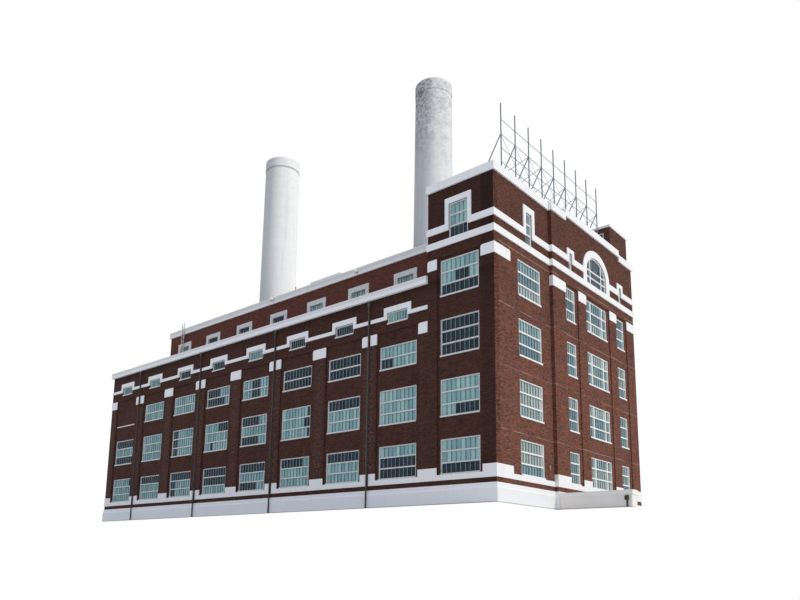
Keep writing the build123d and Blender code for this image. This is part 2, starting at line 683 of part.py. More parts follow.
def arch_window():
    """The arched window's frame, with two uprights and two rails."""
    out = (-ARCH_SETBACK - FRAME_DEPTH, -ARCH_SETBACK)
    bar = ARCH_FRAME_BAR
    foot = LOWER_BELT[1]
    frame = arch_solid(ARCH_INNER_HALF, ARCH_INNER_RISE, foot, out)
    light = arch_solid(ARCH_INNER_HALF - bar, ARCH_INNER_RISE - bar, foot + bar,
                       (out[0] - 1, out[1] + 1))
    third = (ARCH_SPRING_Z - foot) * ARCH_THIRD
    bars = [
        EAST_CENTRE.slab((CENTRE_Y - ARCH_INNER_HALF, CENTRE_Y + ARCH_INNER_HALF), out,
                         (z, z + RAIL_HEIGHT))
        for z in (foot + third, foot + 2 * third)
    ]
    upright = ARCH_INNER_HALF * ARCH_THIRD
    for y in (CENTRE_Y - upright, CENTRE_Y + upright):
        bars.append(EAST_CENTRE.slab((y - bar / 2, y + bar / 2), out, (foot, COPING_BOTTOM)))
    for piece in bars:
        light -= piece
    sheet = arch_solid(ARCH_INNER_HALF, ARCH_INNER_RISE, foot, (out[0] - GLASS_THICK, out[0]))
    return frame - light, sheet


def tower_frames():
    """All window frames and panes of the tower block."""
    frames, panes = [], []

    def add(face, span, heights, recess, rows, **more):
        frames.append(window(face, span, heights, recess, rows, **more))
        panes.append(glass(face, span, heights, recess))

    for face, rows in ((SOUTH, 3), (TOWER_NORTH, 1)):
        for span, heights in tower_long_openings():
            add(face, span, heights, PILASTER_OUT, rows)
        span, heights = slim_opening(-TOWER_WINDOW_FROM_CORNER, TALL_SLIM_WIDTH, TALL_SLIM_TOP)
        add(face, span, heights, 0, rows, sill=False)
    for span, heights in corner_openings():
        add(EAST_CORNER, span, heights, 0, 3)
    span, heights = slim_opening(CORNER_WINDOW_Y, EAST_SLIM_WIDTH, EAST_SLIM_TOP)
    add(EAST_CORNER, span, heights, 0, 3, sill=False)
    for centre, width, mullions in centre_columns():
        span = (centre - width / 2, centre + width / 2)
        for heights in (STOREY_1, STOREY_2, TOWER_STOREY_3, TOWER_STOREY_4):
            add(EAST_CENTRE, span, heights, PILASTER_OUT, 3, mullions=mullions)
    for centre in (LEFT_NARROW_Y, RIGHT_NARROW_Y):
        span, heights = slim_opening(centre, CENTRE_SLIM_WIDTH, CENTRE_SLIM_TOP)
        add(EAST_CENTRE, span, heights, 0, 2, sill=False)
    return frames, panes


def tower_surrounds():
    """White surrounds of the slim top windows."""
    pieces = [
        surround(SOUTH, -TOWER_WINDOW_FROM_CORNER, TALL_SLIM_SURROUND, TALL_SLIM_WIDTH,
                 TALL_SLIM_SURROUND_TOP, TALL_SLIM_TOP, UPPER_BELT, BELT_OUT),
        surround(EAST_CORNER, CORNER_WINDOW_Y, EAST_SLIM_SURROUND, EAST_SLIM_WIDTH,
                 EAST_SLIM_SURROUND_TOP, EAST_SLIM_TOP, UPPER_BELT, BELT_OUT),
    ]
    for centre in (LEFT_NARROW_Y, RIGHT_NARROW_Y):
        pieces.append(
            surround(EAST_CENTRE, centre, CENTRE_SLIM_SURROUND, CENTRE_SLIM_WIDTH,
                     CENTRE_SLIM_SURROUND_TOP, CENTRE_SLIM_TOP, UPPER_BELT, BELT_OUT)
        )
    return pieces


def tower_belts():
    """The two white belts round the tower block above the wing's roof."""
    lower = tower_ring(BELT_OUT, LOWER_BELT, 0)
    lower -= below_wing_roof_cut(LOWER_BELT)
    upper = tower_ring(BELT_OUT, UPPER_BELT, 0)
    upper -= below_wing_roof_cut(UPPER_BELT)
    gaps = [
        (SOUTH, -TOWER_WINDOW_FROM_CORNER, TALL_SLIM_SURROUND),
        (TOWER_NORTH, -TOWER_WINDOW_FROM_CORNER, TALL_SLIM_WIDTH),
        (EAST_CORNER, CORNER_WINDOW_Y, EAST_SLIM_SURROUND),
        (EAST_CENTRE, LEFT_NARROW_Y, CENTRE_SLIM_SURROUND),
        (EAST_CENTRE, RIGHT_NARROW_Y, CENTRE_SLIM_SURROUND),
        (EAST_CENTRE, CENTRE_Y, 2 * ARCH_OUTER_HALF),
    ]
    for face, centre, width in gaps:
        span = (centre - width / 2, centre + width / 2)
        upper -= face.slab(span, (-1, BELT_OUT + 1), UPPER_BELT)
    return [*lower.solids(), *upper.solids()]


def below_wing_roof_cut(z):
    """The stretch of the tower's west side that the hall stands against."""
    out = WING_EAST - BELT_OUT - 1
    return block((out, WING_EAST), (HALL_SETBACK - HALL_CORNICE_OUT, WING_DEPTH), z)


def tower_coping():
    """The white coping of the parapet, stepping up over the middle of the end face."""
    ring = tower_ring(COPING_OUT, (COPING_BOTTOM, COPING_TOP), INNER_Y)
    raised = (RAISED_FROM, RAISED_TO)
    ring -= EAST_CENTRE.slab(raised, (-INNER_Y - 1, COPING_OUT + 1),
                             (COPING_BOTTOM - 1, COPING_TOP + 1))
    top = (COPING_BOTTOM + COPING_RISE, COPING_TOP + COPING_RISE)
    ring += EAST_CENTRE.slab(raised, (-INNER_Y, COPING_OUT), top)
    return ring - block(STAIR_HOUSE_X, STAIR_HOUSE_Y, (COPING_BOTTOM - 1, STAIR_HOUSE_TOP))


def wing_cornice():
    """The white cornice at the wing's eaves, on the long side and round the west end."""
    z = (WING_EAVES_Z, WING_CORNICE_TOP)
    piece = block((WING_WEST - CORNICE_OUT, WING_EAST), (-CORNICE_OUT, CORNICE_SEAT), z)
    end = (WING_WEST - CORNICE_OUT, WING_WEST + CORNICE_SEAT)
    piece += block(end, (-CORNICE_OUT, WING_DEPTH + CORNICE_OUT), z)
    back = (WING_WEST - CORNICE_OUT, HALL_WEST)
    piece += block(back, (WING_DEPTH - CORNICE_SEAT, WING_DEPTH + CORNICE_OUT), z)
    return piece


def wing_roof():
    """The wing's roof slab, which is also the floor of the set-back hall."""
    inside = (CORNICE_SEAT, WING_DEPTH - CORNICE_SEAT)
    limits = (WING_WEST + CORNICE_SEAT, WING_EAST)
    return block(limits, inside, (WING_EAVES_Z, WING_EAVES_Z + FLOOR_THICK))


def hall_openings():
    spans = []
    for n in range(HALL_WINDOW_COUNT):
        x = -(HALL_WINDOW_OFFSET + n * BAY_PITCH)
        spans.append((x - HALL_WINDOW_WIDTH / 2, x + HALL_WINDOW_WIDTH / 2))
    return spans


def hall_wall(face, along, base, openings):
    body = face.slab(along, (-WALL, 0), (base, HALL_EAVES_Z))
    for span in openings:
        body -= face.slab(span, (-WALL - 1, 1), HALL_WINDOW)
    return body


def hall_windows():
    """Frames, with their surrounds, and panes of the hall's row of windows."""
    frames, panes = [], []
    for face in (HALL_SOUTH, WING_NORTH):
        for span in hall_openings():
            frame = window(face, span, HALL_WINDOW, 0, 1, sill=False)
            centre = sum(span) / 2
            half = HALL_SURROUND_WIDTH / 2
            ring = face.slab((centre - half, centre + half), (0, ATTIC_OUT),
                             (HALL_WINDOW[0] - FRAME_BAR, HALL_SURROUND_TOP))
            ring -= face.slab(span, (-1, ATTIC_OUT + 1), HALL_WINDOW)
            lining = face.slab(span, (-FRAME_SETBACK - 1, ATTIC_OUT), HALL_WINDOW)
            clear = (span[0] + FRAME_BAR, span[1] - FRAME_BAR)
            heights = (HALL_WINDOW[0] + FRAME_BAR, HALL_WINDOW[1] - FRAME_BAR)
            lining -= face.slab(clear, (-FRAME_SETBACK - 2, ATTIC_OUT + 1), heights)
            frames.append(frame + ring + lining)
            panes.append(glass(face, span, HALL_WINDOW, 0))
    return frames, panes


def hall_cornice():
    """The broad white band at the hall's eaves."""
    z = (HALL_EAVES_Z, HALL_CORNICE_TOP)
    out = HALL_CORNICE_OUT
    seat = WALL / 2
    piece = block((HALL_WEST - out, WING_EAST), (HALL_SETBACK - out, WING_DEPTH + out), z)
    return piece - block((HALL_WEST + seat, WING_EAST + 1), (HALL_SETBACK + seat, WING_DEPTH - seat),
                         (z[0] - 1, z[1] + 1))


def hall_roof():
    seat = WALL / 2
    return block((HALL_WEST + seat, WING_EAST), (HALL_SETBACK + seat, WING_DEPTH - seat),
                 (HALL_EAVES_Z, HALL_EAVES_Z + FLOOR_THICK))


def floors():
    """The floors of both parts, one slab a storey."""
    slabs = []
    ground = (GROUND_FLOOR_Z - FLOOR_THICK, GROUND_FLOOR_Z)
    levels = [ground, *[(z - FLOOR_THICK, z) for z in FLOOR_LEVELS]]
    wing = ((WING_WEST + INNER_Y, WING_EAST), (INNER_Y, WING_NORTH_INNER))
    for z in levels:
        slabs.append(block(*wing, z))
        slabs.append(tower_slab(z))
    slabs.append(tower_slab((TOWER_FIFTH_FLOOR_Z - FLOOR_THICK, TOWER_FIFTH_FLOOR_Z)))
    return slabs


def tower_slab(z):
    """A slab that fills the tower block between its walls."""
    west = WING_EAST + INNER_Y
    north = TOWER_DEPTH - INNER_Y
    slab = block((west, EAST_INNER), (INNER_Y, north), z)
    return slab + block((west, CENTRE_INNER), (CORNER_DEPTH + INNER_Y, north), z)


def tower_roof():
    return tower_slab((ROOF_DECK_TOP - FLOOR_THICK, ROOF_DECK_TOP))


def tower_west_wall():
    """The tower block's rear-facing wall, which the wing stands against."""
    inside = (INNER_Y, TOWER_DEPTH - INNER_Y)
    return TOWER_WEST.slab(inside, (-INNER_Y, 0), (PLINTH_TOP, COPING_BOTTOM))


def drum(low_radius, high_radius, z):
    """A tapered many-sided drum, round enough for a tall stack and light in faces."""
    height = z[1] - z[0]
    flat = cos(radians(180.0 / STACK_SIDES))
    taper = degrees(atan2((low_radius - high_radius) * flat, height))
    return extrude(Pos(0, 0, z[0]) * RegularPolygon(low_radius, STACK_SIDES), height, taper=taper)


def stack(x, radius, foot_radius, top):
    """A tapered concrete stack: a round shell on a solid foot, with a slight lip at the top."""
    lip = top - STACK_LIP_HEIGHT
    shell = drum(foot_radius, radius, (0, top))
    slope = (foot_radius - radius) / top
    lip_radius = radius + slope * STACK_LIP_HEIGHT + STACK_LIP_OUT
    shell += drum(lip_radius, lip_radius, (lip, top))
    shell -= drum(foot_radius - STACK_WALL, radius - STACK_WALL, (STACK_FLOOR, top + 1))
    return Pos(-x, STACK_Y, 0) * shell


def flue_house(x, radius, foot_radius, top):
    """The low brick flue that joins a stack's foot to the back of the wing."""
    across = (-x - FLUE_WIDTH / 2, -x + FLUE_WIDTH / 2)
    reach = STACK_Y - foot_radius * 0.8
    body = block(across, (WING_DEPTH + PLINTH_OUT, reach), (0, FLUE_HEIGHT))
    body += block(across, (WING_DEPTH, WING_DEPTH + PLINTH_OUT + 1), (PLINTH_TOP, FLUE_HEIGHT))
    fit = foot_radius + STACK_FIT
    slope = (foot_radius - radius) / top
    high = FLUE_HEIGHT + 1
    body -= Pos(-x, STACK_Y, 0) * drum(fit, fit - slope * high, (0, high))
    return body


def roof_house(x, y, base, top):
    """Four brick walls of a small house on a roof."""
    t = ROOF_HOUSE_WALL
    shell = block(x, y, (base, top))
    return shell - block((x[0] + t, x[1] - t), (y[0] + t, y[1] - t), (base - 1, top + 1))


def roof_house_cap(x, y, top):
    out = ROOF_HOUSE_CAP_OUT
    return block((x[0] - out, x[1] + out), (y[0] - out, y[1] + out), (top, top + ROOF_HOUSE_CAP))


def stair_house():
    body = roof_house(STAIR_HOUSE_X, STAIR_HOUSE_Y, ROOF_DECK_TOP, STAIR_HOUSE_TOP)
    y = STAIR_HOUSE_Y[0]
    under = (ROOF_DECK_TOP - 1, COPING_BOTTOM)
    raised = (ROOF_DECK_TOP - 1, COPING_BOTTOM + COPING_RISE)
    body -= block((CENTRE_INNER, EAST_FACE), (RAISED_FROM, TOWER_DEPTH), under)
    body -= block((CENTRE_INNER, EAST_FACE), (RAISED_FROM, RAISED_TO), raised)
    body -= block((WING_EAST, EAST_FACE), (TOWER_DEPTH - INNER_Y, TOWER_DEPTH), under)
    return body - block(STAIR_WINDOW_X, (y - 1, y + ROOF_HOUSE_WALL + 1), STAIR_WINDOW_Z)


def lift_house():
    """The small brick house on the hall's roof."""
    return roof_house(LIFT_HOUSE_X, LIFT_HOUSE_Y, HALL_EAVES_Z + FLOOR_THICK, LIFT_HOUSE_TOP)


def stair_window():
    y = STAIR_HOUSE_Y[0]
    bar = FRAME_BAR
    x, z = STAIR_WINDOW_X, STAIR_WINDOW_Z
    frame = block(x, (y - STAIR_FRAME_OUT, y + ROOF_HOUSE_WALL / 2), z)
    middle = sum(z) / 2
    for low, high in ((z[0] + bar, middle - bar / 2), (middle + bar / 2, z[1] - bar)):
        clear = (y - STAIR_FRAME_OUT - 1, y + ROOF_HOUSE_WALL)
        frame -= block((x[0] + bar, x[1] - bar), clear, (low, high))
    back = y + ROOF_HOUSE_WALL / 2
    return frame, block(x, (back, back + GLASS_THICK), z)


def bar_between(start, end, size):
    """A square bar between two points of an upright plane across X."""
    dy, dz = end[0] - start[0], end[1] - start[1]
    length = hypot(dy, dz)
    angle = degrees(atan2(dz, dy))
    middle = ((start[0] + end[0]) / 2, (start[1] + end[1]) / 2)
    return Pos(SIGN_X, *middle) * Rot(angle, 0, 0) * Box(size, length, size)


def sign_posts():
    return [SIGN_FIRST_Y + n * SIGN_PITCH for n in range(SIGN_POSTS)]


def sign_frame():
    """The bare lattice that carried the roof sign: posts, rails and crossed braces."""
    half = SIGN_BAR / 2
    posts = sign_posts()
    frame = None
    for y in posts:
        post = block((SIGN_X - half, SIGN_X + half), (y - half, y + half), (ROOF_DECK_TOP, SIGN_TOP))
        frame = post if frame is None else frame + post
    for z in SIGN_RAILS:
        frame += block((SIGN_X - half, SIGN_X + half), (posts[0], posts[-1]), (z - half, z + half))
    for n in range(0, SIGN_POSTS - 1, 2):
        low, high = SIGN_RAILS[0], SIGN_RAILS[3]
        frame += bar_between((posts[n], low), (posts[n + 1], high), SIGN_BAR)
        if n + 2 < SIGN_POSTS:
            frame += bar_between((posts[n + 2], low), (posts[n + 1], high), SIGN_BAR)
    return frame


def sign_stays():
    """Raking stays behind every post of the sign frame, each with a foot on the roof."""
    stays = []
    half = SIGN_STAY_BAR / 2
    start_x = SIGN_X - SIGN_BAR / 2
    for y in sign_posts():
        outline_points = [
            (start_x, SIGN_STAY_TOP),
            (start_x, SIGN_STAY_TOP - 2 * SIGN_STAY_BAR),
            (start_x - SIGN_STAY_RUN, ROOF_DECK_TOP),
            (start_x - SIGN_STAY_RUN - SIGN_STAY_BAR, ROOF_DECK_TOP),
        ]
        face = make_face(Polyline(*outline_points, close=True))
        stays.append(Pos(0, y + half, 0) * extrude(Plane.XZ * face, SIGN_STAY_BAR))
    return stays


def downpipes():
    """Rainwater pipes down the wing, each from a small head under the cornice."""
    pipes = []
    y = -(PIPE_RADIUS + ATTIC_OUT + PIPE_OFF_WALL)
    foot_y = -(PIPE_RADIUS + PLINTH_OUT + PIPE_OFF_WALL)
    bend, elbow = PLINTH_TOP + PIPE_KINK_ABOVE, PLINTH_BEVEL_Z + PIPE_KINK_ABOVE
    for x in PIPE_CENTRES:
        upper = Line((x, y, PIPE_TOP), (x, y, bend))
        kink = Line((x, y, bend), (x, foot_y, elbow))
        lower = Line((x, foot_y, elbow), (x, foot_y, 0))
        path = Wire([upper.edge(), kink.edge(), lower.edge()])
        section = Plane(origin=(x, y, PIPE_TOP), z_dir=(0, 0, -1))
        pipe = sweep(section * RegularPolygon(PIPE_RADIUS, PIPE_SIDES), path)
        half = HOPPER_SIZE / 2
        head = block((x - half, x + half), (-HOPPER_SIZE, 0), (PIPE_TOP, PIPE_TOP + HOPPER_HEIGHT))
        pipes.append(pipe + head)
    return pipes


def loading_platform():
    """The raised concrete platform in front of the end face."""
    west = EAST_FACE + PLINTH_OUT
    north = CORNER_DEPTH + PLATFORM_DEPTH
    under = PLATFORM_TOP - PLATFORM_EDGE
    lip = PLATFORM_LIP
    body = block((west, PLATFORM_REACH), (CORNER_DEPTH, north), (0, under))
    deck = block((west, PLATFORM_REACH + lip), (CORNER_DEPTH - lip, north + lip),
                 (under, PLATFORM_TOP))
    side = deck.faces().sort_by(Axis.Y)[0]
    front = side.edges().sort_by(Axis.Z)[-1]
    deck = chamfer(front, PLATFORM_BEVEL_HEIGHT, PLATFORM_BEVEL, reference=side)
    return body, deck


def platform_drain():
    """A rainwater head and short pipe at the platform's outer corner."""
    x = PLATFORM_REACH - PLATFORM_DRAIN_FROM_END
    half = HOPPER_SIZE / 2
    head = block((x - half, x + half), (CORNER_DEPTH - HOPPER_SIZE, CORNER_DEPTH),
                 PLATFORM_DRAIN_HEAD)
    foot = PLATFORM_DRAIN_HEAD[0]
    pipe = Pos(x, CORNER_DEPTH - PIPE_RADIUS, foot / 2) * Cylinder(PIPE_RADIUS, foot)
    return head + pipe


def hall_ladder():
    """The steel ladder at the west end of the hall's front wall."""
    x = -(HALL_WEST_END - LADDER_FROM_WEST_END)
    y = HALL_SETBACK - LADDER_OFF_WALL
    rail, half = LADDER_RAIL, LADDER_HALF_WIDTH
    foot = WING_EAVES_Z + FLOOR_THICK
    top = HALL_CORNICE_TOP + LADDER_ABOVE_COPING
    ladder = None
    for side in (-half, half):
        post = block((x + side - rail, x + side + rail), (y - rail, y + rail), (foot, top))
        ladder = post if ladder is None else ladder + post
    rung = foot + RUNG_FIRST
    while rung < top - RUNG_CLEAR:
        bar = (rung - RUNG_HALF, rung + RUNG_HALF)
        ladder += block((x - half, x + half), (y - rail, y + rail), bar)
        rung += RUNG_PITCH
    return ladder


def placed(shapes):
    """All solids of one piece, moved to their place over the origin."""
    solids = [MOVE * solid for shape in shapes for solid in shape.solids()]
    return Compound(solids) if len(solids) > 1 else solids[0]


def main():
    os.makedirs("parts", exist_ok=True)
    south_frames, south_panes = wing_frames(SOUTH)
    north_frames, north_panes = wing_frames(WING_NORTH)
    hall_frames, hall_panes = hall_windows()
    block_frames, block_panes = tower_frames()
    arch_frame, arch_sheet = arch_window()
    stair_frame, stair_pane = stair_window()
    platform, deck = loading_platform()
    hall_base = WING_EAVES_Z + FLOOR_THICK
    hall_limits = (HALL_WEST, WING_EAST)
    stack_west = (WEST_STACK_X, WEST_STACK_RADIUS, WEST_STACK_FOOT_RADIUS, WEST_STACK_TOP)
    stack_east = (EAST_STACK_X, EAST_STACK_RADIUS, EAST_STACK_FOOT_RADIUS, EAST_STACK_TOP)
    pieces = {
        "wing_plinth": [wing_plinth()],
        "tower_plinth": [tower_plinth()],
        "wing_south_wall": [wing_long_wall(SOUTH)],
        "wing_north_wall": [wing_long_wall(WING_NORTH)],
        "wing_west_wall": [wing_west_wall()],
        "wing_roof": [wing_roof()],
        "wing_cornice": [wing_cornice()],
        "wing_window_frames": south_frames + north_frames,
        "wing_window_glass": south_panes + north_panes,
        "attic_band": [attic_band()],
        "sill_band": sill_band(),
        "pier_caps": capital_blocks(),
        "hall_south_wall": [hall_wall(HALL_SOUTH, hall_limits, hall_base, hall_openings())],
        "hall_north_wall": [hall_wall(WING_NORTH, hall_limits, hall_base, hall_openings())],
        "hall_west_wall": [
            hall_wall(HALL_WEST_FACE, (HALL_SETBACK + WALL, WING_DEPTH - WALL), hall_base, [])
        ],
        "hall_window_frames": hall_frames,
        "hall_window_glass": hall_panes,
        "hall_cornice": [hall_cornice()],
        "hall_roof": [hall_roof()],
        "floors": floors(),
        "tower_south_wall": [tower_long_wall(SOUTH, 0)],
        "tower_north_wall": [tower_long_wall(TOWER_NORTH, EAST_FACE)],
        "tower_west_wall": [tower_west_wall()],
        "tower_east_corner_wall": [east_corner_wall()],
        "tower_east_centre_wall": [east_centre_wall()],
        "tower_window_frames": [*block_frames, stair_frame],
        "tower_window_glass": [*block_panes, arch_sheet, stair_pane],
        "tower_window_surrounds": tower_surrounds(),
        "tower_belts": tower_belts(),
        "tower_coping": [tower_coping()],
        "tower_roof": [tower_roof()],
        "arch_surround": [arch_surround()],
        "arch_window_frame": [arch_frame],
        "west_stack": [stack(*stack_west)],
        "east_stack": [stack(*stack_east)],
        "flue_houses": [flue_house(*stack_west), flue_house(*stack_east)],
        "roof_houses": [stair_house(), lift_house()],
        "roof_house_caps": [
            roof_house_cap(STAIR_HOUSE_X, STAIR_HOUSE_Y, STAIR_HOUSE_TOP),
            roof_house_cap(LIFT_HOUSE_X, LIFT_HOUSE_Y, LIFT_HOUSE_TOP),
        ],
        "sign_frame": [sign_frame()],
        "sign_stays": sign_stays(),
        "downpipes": [*downpipes(), platform_drain()],
        "loading_platform": [platform],
        "platform_deck": [deck],
        "hall_ladder": [hall_ladder()],
    }
    for name, shapes in pieces.items():
        export_step(placed(shapes), os.path.join("parts", f"{name}.step"))


main()
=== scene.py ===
from math import atan2, cos, hypot, radians, sin, sqrt

import bmesh
import bpy
from mathutils import Matrix, Vector


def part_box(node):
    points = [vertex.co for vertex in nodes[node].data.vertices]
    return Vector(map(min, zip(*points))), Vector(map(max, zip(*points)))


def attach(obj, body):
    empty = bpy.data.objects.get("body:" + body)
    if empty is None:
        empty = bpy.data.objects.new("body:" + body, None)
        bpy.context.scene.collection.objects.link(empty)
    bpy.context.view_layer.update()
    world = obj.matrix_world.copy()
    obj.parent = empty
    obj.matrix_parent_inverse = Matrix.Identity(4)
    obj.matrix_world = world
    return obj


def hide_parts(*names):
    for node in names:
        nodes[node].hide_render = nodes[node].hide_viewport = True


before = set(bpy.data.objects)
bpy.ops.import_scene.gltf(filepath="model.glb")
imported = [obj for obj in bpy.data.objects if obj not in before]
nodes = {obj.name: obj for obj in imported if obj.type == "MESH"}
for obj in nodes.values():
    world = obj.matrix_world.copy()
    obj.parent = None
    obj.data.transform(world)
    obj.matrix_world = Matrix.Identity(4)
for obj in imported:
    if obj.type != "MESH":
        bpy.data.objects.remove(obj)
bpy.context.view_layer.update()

# The viewpoint. The building is seen from low ground off its sunny corner, and the
# lens is shifted up, so that the long side and the tall stacks fit in the frame.
# CORNER is the foot of the brick corner nearest to it.
CORNER = Vector((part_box("tower_south_wall")[1].x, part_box("tower_south_wall")[0].y, 0.0))
STAND_FROM_CORNER = Vector((13.28323, -21.26641, -2.12555))
BEARING, PITCH, ROLL = radians(41.64417), radians(-9.8369), radians(0.92163)
FILM_WIDTH, FOCAL_LENGTH = 36.0, 32.178
SHIFT_RIGHT, SHIFT_UP = 0.02933, 0.17288
FARTHEST = 400.0

back = Vector((sin(BEARING) * cos(PITCH), -cos(BEARING) * cos(PITCH), sin(PITCH)))
level_right = Vector((cos(BEARING), sin(BEARING), 0.0))
level_up = back.cross(level_right)
right = cos(ROLL) * level_right + sin(ROLL) * level_up
up = cos(ROLL) * level_up - sin(ROLL) * level_right
lens = bpy.data.cameras.new("viewpoint")
lens.sensor_width = FILM_WIDTH
lens.lens = FOCAL_LENGTH
lens.shift_x = SHIFT_RIGHT
lens.shift_y = SHIFT_UP
lens.clip_end = FARTHEST
viewpoint = bpy.data.objects.new("viewpoint", lens)
turned = Matrix((right, up, back)).transposed().to_4x4()
viewpoint.matrix_world = Matrix.Translation(CORNER + STAND_FROM_CORNER) @ turned
bpy.context.scene.collection.objects.link(viewpoint)
bpy.context.scene.camera = viewpoint


# The light and the floor. A pale studio floor, an even white surrounding, and one broad
# lamp from the side that the end face looks to, so that the long side lies in shade.
# The viewer stands lower than the floor, which is clear when it is seen from beneath.
class Tone:
    """A socket of a finish. Sums and products written on it become its nodes."""

    def __init__(self, tree, socket=None):
        self.tree = tree
        self.socket = socket

    def node(self, kind, settings=None, values=None, out=0):
        """One node: its settings first, then the values and links of its sockets."""
        made = self.tree.nodes.new("ShaderNode" + kind)
        for name, setting in (settings or {}).items():
            setattr(made, name, setting)
        for name, value in (values or {}).items():
            if isinstance(value, Tone):
                self.tree.links.new(value.socket, made.inputs[name])
            else:
                made.inputs[name].default_value = value
        return Tone(self.tree, made.outputs[out] if made.outputs else None)

    def sum(self, operation, *terms):
        return self.node("Math", {"operation": operation}, dict(enumerate(terms)))

    def __add__(self, other):
        return self.sum("ADD", self, other)

    def __radd__(self, other):
        return self.sum("ADD", other, self)

    def __sub__(self, other):
        return self.sum("SUBTRACT", self, other)

    def __rsub__(self, other):
        return self.sum("SUBTRACT", other, self)

    def __mul__(self, other):
        return self.sum("MULTIPLY", self, other)

    def __rmul__(self, other):
        return self.sum("MULTIPLY", other, self)

    def __truediv__(self, other):
        return self.sum("DIVIDE", self, other)

    def __rtruediv__(self, other):
        return self.sum("DIVIDE", other, self)

    def __abs__(self):
        return self.sum("ABSOLUTE", self)

    def whole(self):
        """The whole part of the number."""
        return self.sum("FLOOR", self)

    def fraction(self):
        """What the number has past its whole part."""
        return self.sum("FRACT", self)

    def rise(self, low, high):
        """0 below low, 1 above high, and a smooth step between."""
        values = {"Value": self, "From Min": low, "From Max": high}
        return self.node("MapRange", {"interpolation_type": "SMOOTHSTEP"}, values)

    def band(self, start, full, waning, end):
        """1 from full to waning, 0 before start and after end, and smooth steps between."""
        return self.rise(start, full) * (1.0 - self.rise(waning, end))

    def between(self, low, high):
        """The colour low where this is 0, and high where it is 1."""
        return self.node("Mix", {"data_type": "RGBA"}, {0: self, 6: low, 7: high}, out=2)

    def noise(self, scale, detail=2.0, stretch=(1.0, 1.0, 1.0), rough=0.5):
        """Cloudy noise over the piece, stretched along the axes where that is asked."""
        spread = self.node("Mapping", None, {"Vector": self, "Scale": stretch})
        values = {"Vector": spread, "Scale": scale, "Detail": detail, "Roughness": rough}
        return self.node("TexNoise", None, values)

    def parts(self):
        """The three numbers of a place."""
        return [self.node("SeparateXYZ", None, {0: self}, out=k) for k in range(3)]

    def relief(self, strength, distance):
        """A fine relief of the surface that follows this height."""
        return self.node("Bump", None, {"Height": self, "Strength": strength, "Distance": distance})


def ink(code):
    """A colour written as on a paint card."""
    levels = [int(code[k:k + 2], 16) / 255.0 for k in (0, 2, 4)]
    return (*[c / 12.92 if c <= 0.04045 else ((c + 0.055) / 1.055) ** 2.4 for c in levels], 1.0)


def new_finish(name):
    """An empty finish, and the place on the piece that its pattern follows, in metres."""
    made = bpy.data.materials.new(name)
    made.use_nodes = True
    made.node_tree.nodes.clear()
    return made, Tone(made.node_tree).node("TexCoord", out="Object")


WHITE = (1.0, 1.0, 1.0, 1.0)
LIGHT_HEADING = Vector((-0.86, -0.22, -0.62))

world = bpy.data.worlds.new("studio")
world.use_nodes = True
world.node_tree.nodes.clear()
room = Tone(world.node_tree)
ray = [room.node("LightPath", out=k) for k in ("Is Camera Ray", "Is Glossy Ray", "Is Transmission Ray")]
seen = (ray[0] + ray[1] + ray[2]).rise(0.0, 1.0)
lit = room.node("Background", None, {"Color": ink("e9effa"), "Strength": 0.71})
shown = room.node("Background", None, {"Color": WHITE, "Strength": 1.0})
room.node("OutputWorld", None, {"Surface": room.node("MixShader", None, {0: seen, 1: lit, 2: shown})})
bpy.context.scene.world = world
bpy.context.scene.view_settings.view_transform = "Standard"

lamp = bpy.data.lights.new("key_lamp", "SUN")
lamp.energy = 1.5
lamp.angle = radians(9.0)
lamp.color = (1.0, 0.945, 0.81)
key_lamp = bpy.data.objects.new("key_lamp", lamp)
key_lamp.rotation_euler = LIGHT_HEADING.to_track_quat("-Z", "Y").to_euler()
bpy.context.scene.collection.objects.link(key_lamp)


def plate(name, corners, finish):
    """A flat many-sided plate, made from its corners."""
    mesh = bpy.data.meshes.new(name)
    mesh.from_pydata(corners, [], [list(range(len(corners)))])
    mesh.materials.append(finish)
    made = bpy.data.objects.new(name, mesh)
    bpy.context.scene.collection.objects.link(made)
    return made


REACH = 160.0
floor_finish, place = new_finish("pale_floor")
matt = place.node("BsdfDiffuse", None, {"Color": ink("eef0f2")})
clear = place.node("BsdfTransparent", None, {"Color": WHITE})
from_below = place.node("NewGeometry", out="Backfacing")
camera_ray = place.node("LightPath", out="Is Camera Ray")
floor_shader = place.node("MixShader", None, {0: from_below * camera_ray, 1: matt, 2: clear})
place.node("OutputMaterial", None, {"Surface": floor_shader})
floor_corners = [(-REACH, -REACH, 0.0), (REACH, -REACH, 0.0), (REACH, REACH, 0.0), (-REACH, REACH, 0.0)]
floor = plate("studio_floor", floor_corners, floor_finish)

# A white sheet just under the floor hides the inside of the building from below.
SHEET_DROP, SHEET_PAST_LEDGE = 0.003, 0.7
sheet_finish, place = new_finish("white_underlay")
glow = place.node("Emission", None, {"Color": WHITE, "Strength": 1.0})
place.node("OutputMaterial", None, {"Surface": glow})
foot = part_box("wing_plinth")[0]
east_foot = CORNER.x + CORNER.y - foot.y
ledge_low, ledge_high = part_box("loading_platform")
sheet_end = ledge_high.x + SHEET_PAST_LEDGE
sheet_corners = [
    (foot.x, foot.y),
    (east_foot, foot.y),
    (east_foot, ledge_low.y),
    (sheet_end, ledge_low.y),
    (sheet_end, REACH),
    (foot.x, REACH),
]
underlay = plate("studio_underlay", [(x, y, -SHEET_DROP) for x, y in sheet_corners], sheet_finish)


# The brick walls. Hard-burnt red-brown facing bricks in grey mortar, darker on the long side,
# partly with soot and partly as painted shade, and washed pale on the piers beside the rainwater pipes.
BRICK_LENGTH, COURSE, JOINT = 0.125, 0.0375, 0.005
FIRST_PIPE, PIPE_PITCH = 6.085, 6.0
HEAD_COURSE, STOREY_PITCH = 2.65, 2.37

